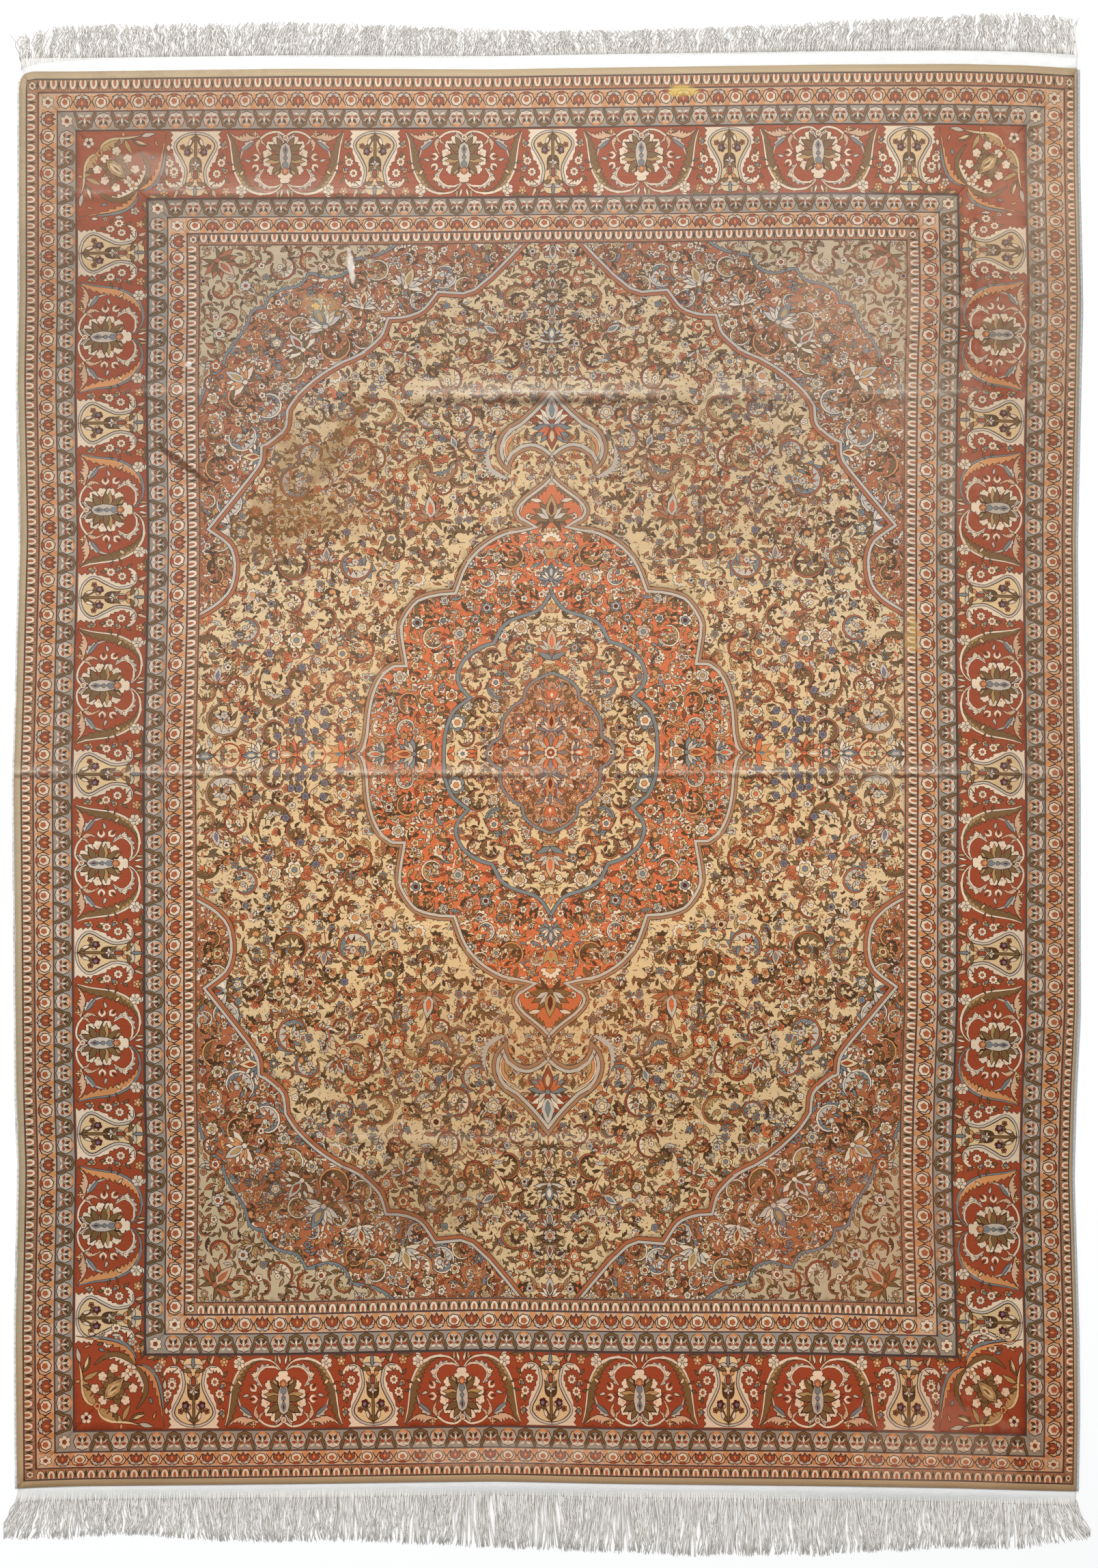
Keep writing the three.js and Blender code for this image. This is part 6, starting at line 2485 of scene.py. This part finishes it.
    @staticmethod
    def guard_shade(across: Wire, along: Wire) -> Wire:
        """The narrow borders at the left and at the bottom, which lie a little darker."""
        left = (across * -1.0).soft_step(0.695, 0.705) * 0.06
        bottom = (along * -1.0).soft_step(0.985, 1.0) * 0.06
        return 1.0 - left - bottom - across.near(-0.585, 0.06) * 0.07

    def tinted_by_place(self, shop: "Workshop", across: Wire, along: Wire, tone: Wire) -> Wire:
        """Turns the bottom redder, the right side greyer, the middle warmer and the upper field paler; the
        paler top and redder bottom are partly painted light on the nap and partly fading.
        """
        upper = along.soft_step(0.02, 0.34) * self.inside(along) * (1.0 - abs(across).soft_step(0.53, 0.60))
        for share, shift in (((along * -1.0).soft_step(0.76, 0.90) * 0.9, (0.97, 0.80, 0.70, 1.0)),
                             (across.soft_step(0.45, 0.62) * 0.8, (0.93, 0.89, 0.84, 1.0)),
                             (self.middle(across, along).soft_step(0.66, 0.95), (1.03, 0.98, 0.90, 1.0)),
                             (upper, (1.01, 1.065, 1.15, 1.0))):
            tone = shop.blend(share, tone, shift, "MULTIPLY")
        return tone


@dataclass(frozen=True)
class SilkBase:
    """The woven foundation: the back with its knots, and the pale flatwoven ends."""

    def build(self) -> bpy.types.Material:
        """Builds the material."""
        shop = Workshop("silk_foundation")
        dye = shop.node("ShaderNodeAttribute", {"attribute_name": "dye"}, output="Color")
        knots = shop.noise(700.0, 700.0, 1, 0.5, 5.0)
        wefts = shop.noise(60.0, 900.0, 2, 0.6, 9.0)
        wear = shop.noise(24.0, 60.0, 3, 0.6, 4.0)
        tone = shop.tint(dye, 1.0 + knots * 0.25 + wefts * 0.18 + wear * 0.16)
        bump = shop.bump(knots + wefts, 0.4, 0.0008)
        return shop.finish(Base_Color=tone, Roughness=0.8, Normal=bump, Specular_IOR_Level=0.2)


@dataclass(frozen=True)
class SilkThread:
    """Plain silk thread in one tone, each thread a little lighter or darker, and darker still where shade is
    painted: on the lower threads of a fringe and between the turns of a cord.

    Attributes:
        name: The material's name.
        colour: Its tone.
        dark: What the shaded places are mixed with.
    """

    name: str
    colour: tuple[float, float, float, float]
    dark: tuple[float, float, float, float]

    def build(self) -> bpy.types.Material:
        """Builds the material."""
        shop = Workshop(self.name)
        lot = shop.node("ShaderNodeAttribute", {"attribute_name": "lot"}, output="Color")
        split = shop.node("ShaderNodeSeparateColor", values=[lot])
        grain = shop.noise(240.0, 520.0, 2, 0.6)
        tone = shop.blend(1.0 - split, self.colour, self.dark)
        tone = shop.tint(tone, 1.0 + grain * 0.2)
        return shop.finish(Base_Color=tone, Roughness=0.7, Specular_IOR_Level=0.3)


# ---- Foundation, selvedges and fringes -----------------------------------------------------------
FLATWEAVE = 20.0        # how far the flatwoven ends are drawn; the cloth's table gives their real width
SEAM = 0.3              # the gap between neighbouring pieces


class Foundation:
    """The woven sheet under the pile, whose back shows the design in blocks of colour."""

    def __init__(self) -> None:
        """Draws the back."""
        self.pen = Drawing(41)

    def draw(self, field_plan: Field) -> None:
        """Draws the plain grounds of the design, as the back shows them."""
        ends = box_outline(-HALF_WIDTH, -HALF_LENGTH - FLATWEAVE, HALF_WIDTH, HALF_LENGTH + FLATWEAVE)
        self.pen.lay(Place(), ends, KILIM, even=True)
        for start, dye in ((0, GOLD), (13, GUARD_LINE), (15, PEACH), (30, GUARD_LINE),
                           (32.4, IVORY), (56, GUARD_LINE), (58.6, PEARL), (86, GUARD_LINE),
                           (88, RUST), (185, GUARD_LINE), (187.2, PEARL), (214, GUARD_LINE),
                           (216, IVORY), (242, GUARD_LINE), (244.4, PEACH), (260, GUARD_LINE),
                           (262, CREAM)):
            self.pen.lay(Place(), inset(start), dye, even=True)
        inside = box_outline(-FIELD_X, -FIELD_Y, FIELD_X, FIELD_Y)
        low, high = inside.min(axis=0), inside.max(axis=0)
        for side in (1, -1):
            for end in (1, -1):
                for outline, dye in ((field_plan.spandrel, SALMON), (field_plan.corner, CORNER_CREAM)):
                    trimmed = np.clip(outline * (side, end), low, high)
                    self.pen.lay(Place(), oriented(trimmed), dye, even=True)
        for end in (1, -1):
            self.pen.lay(Place(), field_plan.crown * (1, end), TAN, even=True)
        for outline, dye in ((field_plan.medallion, CORAL), (field_plan.inner, CREAM),
                             (field_plan.core, ROSE)):
            self.pen.lay(Place(), outline, dye, even=True)

    def build(self, cloth: Cloth) -> bpy.types.Object:
        """Builds the closed sheet: a plain upper face, and the drawn one below."""
        whole = box_outline(-HALF_WIDTH, -HALF_LENGTH - FLATWEAVE, HALF_WIDTH, HALF_LENGTH + FLATWEAVE)
        patches = Cutter(self.pen.shapes, [whole], 40.0, 40.0).cut()
        face, count = patches.triangles, len(patches.points)
        across, along = patches.points[:, 0], patches.points[:, 1]
        points = np.concatenate([cloth.points(across, along, 0.0),
                                 cloth.points(across, along, BASE_TOP - 0.02)])
        rim = rim_edges(face)
        walls = np.stack([rim[:, 1], rim[:, 0], rim[:, 0] + count, rim[:, 1] + count], axis=1)
        made = mesh_object("foundation", points, [face[:, ::-1], face + count, walls[:, ::-1]])
        plain = np.abs(along[face]).max(axis=1) > HALF_LENGTH + 0.1
        above = np.where(plain[:, None], KILIM.linear(), TAN.linear() * 0.8)
        colours = np.concatenate([np.repeat(patches.colours[:, :3] * 0.94, 3, axis=0),
                                  np.repeat(above, 3, axis=0),
                                  np.tile(KILIM.linear() * 0.9, (len(walls) * 4, 1))])
        corner_colours(made, "dye", colours)
        return made


def tubes(name: str, paths: np.ndarray, radius: np.ndarray, sides: int, lots: np.ndarray,
          flat: float = 1.0) -> bpy.types.Object:
    """Many closed tubes as one mesh.

    Args:
        name: The piece's name.
        paths: Points of each tube's middle in millimetres, as tube by step by 3.
        radius: Of each tube at each step, in millimetres.
        sides: Sides of a tube.
        lots: How light each tube is at each step, 0 to 1.
        flat: How high a tube is, as a share of its width.
    """
    count, steps, _ = paths.shape
    ahead = np.gradient(paths, axis=1)
    ahead /= np.maximum(np.linalg.norm(ahead, axis=2, keepdims=True), 1e-9)
    beside = np.stack([ahead[..., 1], -ahead[..., 0], np.zeros_like(ahead[..., 0])], axis=-1)
    beside /= np.maximum(np.linalg.norm(beside, axis=2, keepdims=True), 1e-9)
    above = np.array([0.0, 0.0, 1.0])
    turn = np.arange(sides) * FULL / sides + FULL / 4
    ring = (beside[:, :, None, :] * np.cos(turn)[None, None, :, None]
            + above * (np.sin(turn) * flat)[None, None, :, None])
    points = paths[:, :, None, :] + ring * radius[:, :, None, None]
    base = (np.arange(count) * steps * sides)[:, None, None]
    i, j = np.meshgrid(np.arange(steps - 1), np.arange(sides), indexing="ij")
    a = (i * sides + j)[None] + base
    b = (i * sides + (j + 1) % sides)[None] + base
    quads = np.stack([a, b, b + sides, a + sides], axis=-1).reshape(-1, 4)
    caps = np.arange(sides)[None] + base[:, 0]
    ends = caps[:, ::-1] + (steps - 1) * sides
    made = mesh_object(name, points.reshape(-1, 3) * MM, [quads[:, ::-1], caps, ends])
    shade = np.repeat(lots.reshape(-1), sides)
    where = np.empty(len(made.data.loops), dtype=np.int32)
    made.data.loops.foreach_get("vertex_index", where)
    corner_colours(made, "lot", np.repeat(shade[where][:, None], 3, axis=1))
    return made


@dataclass(frozen=True)
class Selvedge:
    """An overcast cord down one side.

    Attributes:
        side: "left" or "right".
        ragged: How unevenly it is worn, in millimetres.
    """

    side: str
    ragged: float

    WIDTH = 4.0
    HEIGHT = 3.0
    STEP = 4.0
    SIDES = 6

    def build(self, cloth: Cloth) -> bpy.types.Object:
        """Builds the cord as one closed tube, with the slanting turns of its overcasting."""
        low, high = (np.array(corner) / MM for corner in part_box(f"selvedge_{self.side}"))
        along = np.arange(low[1] + 0.6, high[1] - 0.6, self.STEP)
        sign = -1 if self.side == "left" else 1
        edge = cloth.line(self.side, along - cloth.shift_y) + cloth.shift_x
        middle = edge + sign * (SEAM + self.WIDTH / 2)
        chance = np.random.default_rng(5 + sign)
        wander = np.convolve(chance.normal(0, 1, len(along) + 8), np.hanning(9) / 4,
                             mode="valid") * self.ragged * 0.5
        lift = cloth.lift(middle, along)
        paths = np.stack([middle + np.clip(wander, -1, 1) * 0.5, along, lift + self.HEIGHT / 2],
                         axis=1)[None]
        turns = 1 + 0.08 * np.sin(along * 0.9)
        radius = (self.WIDTH / 2 * 0.96 * turns - np.abs(wander) * 0.4)[None]
        # lighter on each turn of the overcasting and darker between them, as painted shade in the grooves;
        # the wander adds uneven wear
        lots = np.clip(0.82 + 0.18 * np.sin(along * 0.9) + wander * 0.2, 0, 1)[None]
        return tubes(f"cord_{self.side}", paths, radius, self.SIDES, lots, self.HEIGHT / self.WIDTH)


@dataclass(frozen=True)
class Fringe:
    """The loose warps at one end.

    Attributes:
        end: "top" or "bottom".
        tips: Across, lean and reach of the tips, from the rug's own middle.
        seed: For its tangle.
        curl: How strongly the threads wave, in millimetres.
    """

    end: str
    tips: tuple[tuple[float, float, float], ...]
    seed: int
    curl: float

    THREADS = 1500
    STEPS = 7
    RADIUS = 0.95
    HEIGHT = 3.0
    CLUMPS = 110

    def build(self, cloth: Cloth) -> bpy.types.Object:
        """Builds the threads as three-sided tubes that wave, gather and tangle, in two layers; the lower
        layer is painted darker, as painted shade under the upper one.
        """
        sign = 1 if self.end == "top" else -1
        chance = np.random.default_rng(self.seed)
        count, steps = self.THREADS, self.STEPS
        end_line = np.array(sign * HALF_LENGTH)
        left, right = cloth.line("left", end_line), cloth.line("right", end_line)
        root_x = np.linspace(left + 1.5, right - 1.5, count) + chance.uniform(-0.8, 0.8, count)
        root_y = cloth.line(self.end, root_x) + sign * (cloth.line(f"{self.end}_weave", root_x) + SEAM)
        table = np.array(self.tips)
        lean = np.interp(root_x, table[:, 0], table[:, 1])
        reach = np.interp(root_x, table[:, 0], table[:, 2])
        upper = (np.arange(count) % 2)[:, None]
        wisp = 5 * np.sin(root_x / 23 + 2 * np.sin(root_x / 71)) + 3 * np.sin(root_x / 9)
        tip_y = reach - sign * (np.abs(chance.normal(0, 3.2, count)).clip(0, 12) + 0.3 * np.abs(wisp))
        tip_y = np.where(chance.random(count) < 0.07, tip_y - sign * chance.uniform(6, 22, count), tip_y)
        pitch = (right - left) / self.CLUMPS
        clump = np.floor((root_x - left) / pitch + 0.25 * np.sin(root_x / 37))
        middle = left + (clump + 0.5) * pitch + 3 * np.sin(clump * 2.3)
        tip_x = root_x + lean + (middle - root_x) * 0.2 + wisp + chance.normal(0, 5.0, count)
        t = np.linspace(0, 1, steps)[None, :]
        length = np.abs(tip_y - root_y)[:, None]
        phase = (clump * 1.9 + chance.normal(0, 0.7, count))[:, None]
        waves = length / (17 + 5 * np.sin(clump * 0.9))[:, None]
        sway = self.curl * (0.5 + 0.9 * t) * np.sin(FULL * waves * t + phase) * np.minimum(t * 5, 1)
        own = chance.normal(0, 1.0, (count, steps)).cumsum(axis=1) * 0.6 * t
        x = root_x[:, None] + (tip_x - root_x)[:, None] * t ** 1.2 + sway + own
        x = np.clip(x, root_x.min() - 22, root_x.max() + 22)
        y = root_y[:, None] + (tip_y - root_y)[:, None] * t + 0.7 * np.cos(FULL * waves * t + phase) * t
        layer = 0.25 * chance.random(count)[:, None] + 0.75 * upper
        height = self.RADIUS + 0.05 + (self.HEIGHT - 2.1 * self.RADIUS) * layer * (1 - 0.2 * t)
        z = np.clip(height + 0.1 * np.sin(phase + 5 * t), self.RADIUS + 0.02, self.HEIGHT - self.RADIUS)
        z[:, 0] = self.RADIUS + 0.02
        paths = np.stack([x + cloth.shift_x, y + cloth.shift_y, z], axis=2)
        fine = chance.uniform(0.85, 1.0, (count, 1))
        radius = np.full((count, steps), self.RADIUS) * (1 - 0.45 * t ** 2) * fine
        tone = 0.50 if self.end == "top" else 0.64
        uneven = chance.normal(0, 0.12, (count, 1)) + 0.07 * np.sin(9 * t + phase)
        # the lower layer is painted darker, as painted shade under the upper threads; the rest is each
        # thread's own tone
        lots = np.clip(tone + 0.38 * upper + uneven, 0, 1)
        return tubes(f"threads_{self.end}", paths, radius, 3, lots)


TOP_TIPS = ((-767, -2, 1094), (-720, 2, 1112), (-560, -4, 1113), (-370, 6, 1117), (-180, 4, 1110),
            (17, -5, 1104), (210, 3, 1108), (405, 7, 1117), (600, 5, 1127), (700, 2, 1131), (778, -4, 1122))
BOTTOM_TIPS = ((-770, -31, -1106), (-700, -8, -1108), (-620, 2, -1100), (-465, 6, -1112), (-270, -4, -1110),
               (-80, 3, -1120), (115, -4, -1127), (210, -3, -1132), (405, 5, -1131), (600, -3, -1120),
               (700, 4, -1122), (778, 25, -1104))


# ---- Stage ---------------------------------------------------------------------------------------
class Stage:
    """The plain floor, the light and the camera."""

    CAMERA_HEIGHT = 6.0
    SEEN = 2.296            # how much of the floor the frame shows, top to bottom
    SENSOR = 36.0
    FLOOR_SIZE = 40.0
    FLOOR_GAP = 0.0004
    KEY_SPOT = (-1.0, 3.4, 6.4)
    KEY_SIZE, KEY_POWER = 3.2, 430.0
    SKY, SKY_POWER = (0.98, 0.99, 1.0, 1.0), 0.50
    AIM_X = 0.0055

    def build(self) -> None:
        """Builds all of it."""
        scene = bpy.context.scene
        bpy.ops.object.select_all(action="DESELECT")
        bpy.ops.mesh.primitive_plane_add(size=self.FLOOR_SIZE, location=(0.0, 0.0, 0.0))
        floor = bpy.context.active_object
        floor.name = "floor"
        floor.location.z = CAD_BOX[0][2] - self.FLOOR_GAP
        shop = Workshop("floor_paper")
        floor.data.materials.append(shop.finish(Base_Color=rgb(250, 250, 250), Roughness=0.9,
                                                Specular_IOR_Level=0.1))
        world = bpy.data.worlds.new("studio")
        scene.world = world
        world.use_nodes = True
        sky = world.node_tree.nodes["Background"]
        sky.inputs[0].default_value = self.SKY
        sky.inputs[1].default_value = self.SKY_POWER
        bpy.ops.object.light_add(type="AREA", location=self.KEY_SPOT)
        key = bpy.context.active_object
        key.name = "window_light"
        key.data.shape = "SQUARE"
        key.data.size = self.KEY_SIZE
        key.data.energy = self.KEY_POWER
        key.visible_camera = False
        key.rotation_euler = (-Vector(key.location)).to_track_quat("-Z", "Y").to_euler()
        bpy.ops.object.camera_add(location=(self.AIM_X, 0.0, self.CAMERA_HEIGHT), rotation=(0.0, 0.0, 0.0))
        camera = bpy.context.active_object
        camera.data.sensor_width = self.SENSOR
        camera.data.sensor_fit = "AUTO"
        camera.data.lens = self.SENSOR * self.CAMERA_HEIGHT / self.SEEN
        camera.data.dof.use_dof = False
        scene.camera = camera
        scene.view_settings.view_transform = "Standard"


# ---- The rug -------------------------------------------------------------------------------------
class Rug:
    """The whole rug."""

    def build(self) -> None:
        """Builds every piece, dresses it and ties it to the frame."""
        cloth = Cloth()
        pile = []
        for border in (outer_guards(), MainBorder().border(), inner_guards()):
            pile += border.build(cloth)
        plan = Field()
        pile += plan.build(cloth)
        silk = SilkPile().build()
        for piece in pile:
            self.dress(piece, silk, "silk_pile")
        base = Foundation()
        base.draw(plan)
        foundation = base.build(cloth)
        self.dress(foundation, SilkBase().build(), "silk_foundation")
        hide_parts("rug")
        cords, threads = [], []
        for side, ragged, colour in (("left", 1.6, rgb(226, 222, 214)), ("right", 0.5, rgb(182, 186, 190))):
            piece = Selvedge(side, ragged).build(cloth)
            self.dress(piece, SilkThread(f"selvedge_silk_{side}", colour, rgb(120, 116, 112)).build(),
                       "selvedge_silk")
            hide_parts(f"selvedge_{side}")
            cords.append(piece)
        warp = SilkThread("fringe_silk", rgb(240, 236, 230), rgb(150, 143, 134)).build()
        for fringe in (Fringe("top", TOP_TIPS, 51, 2.4), Fringe("bottom", BOTTOM_TIPS, 52, 1.8)):
            piece = fringe.build(cloth)
            self.dress(piece, warp, "fringe_silk")
            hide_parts(f"fringe_{fringe.end}")
            threads.append(piece)
        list(cords)
        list(threads)
        total = 0
        for piece in (*pile, foundation, *cords, *threads):
            piece.data.calc_loop_triangles()
            faces = len(piece.data.loop_triangles)
            total += faces
            log.info("%s: %d triangles", piece.name, faces)
        log.info("in all: %d triangles", total)

    @staticmethod
    def dress(piece: bpy.types.Object, finish: bpy.types.Material, slot: str) -> None:
        """Gives a piece its finish and ties it to the frame."""
        piece.data.materials.append(finish)
        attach(piece, "root")


def main() -> None:
    """Builds the rug and its stage."""
    logging.basicConfig(level=logging.INFO, format="%(name)s: %(message)s")
    Rug().build()
    Stage().build()


if __name__ == "__main__":
    main()
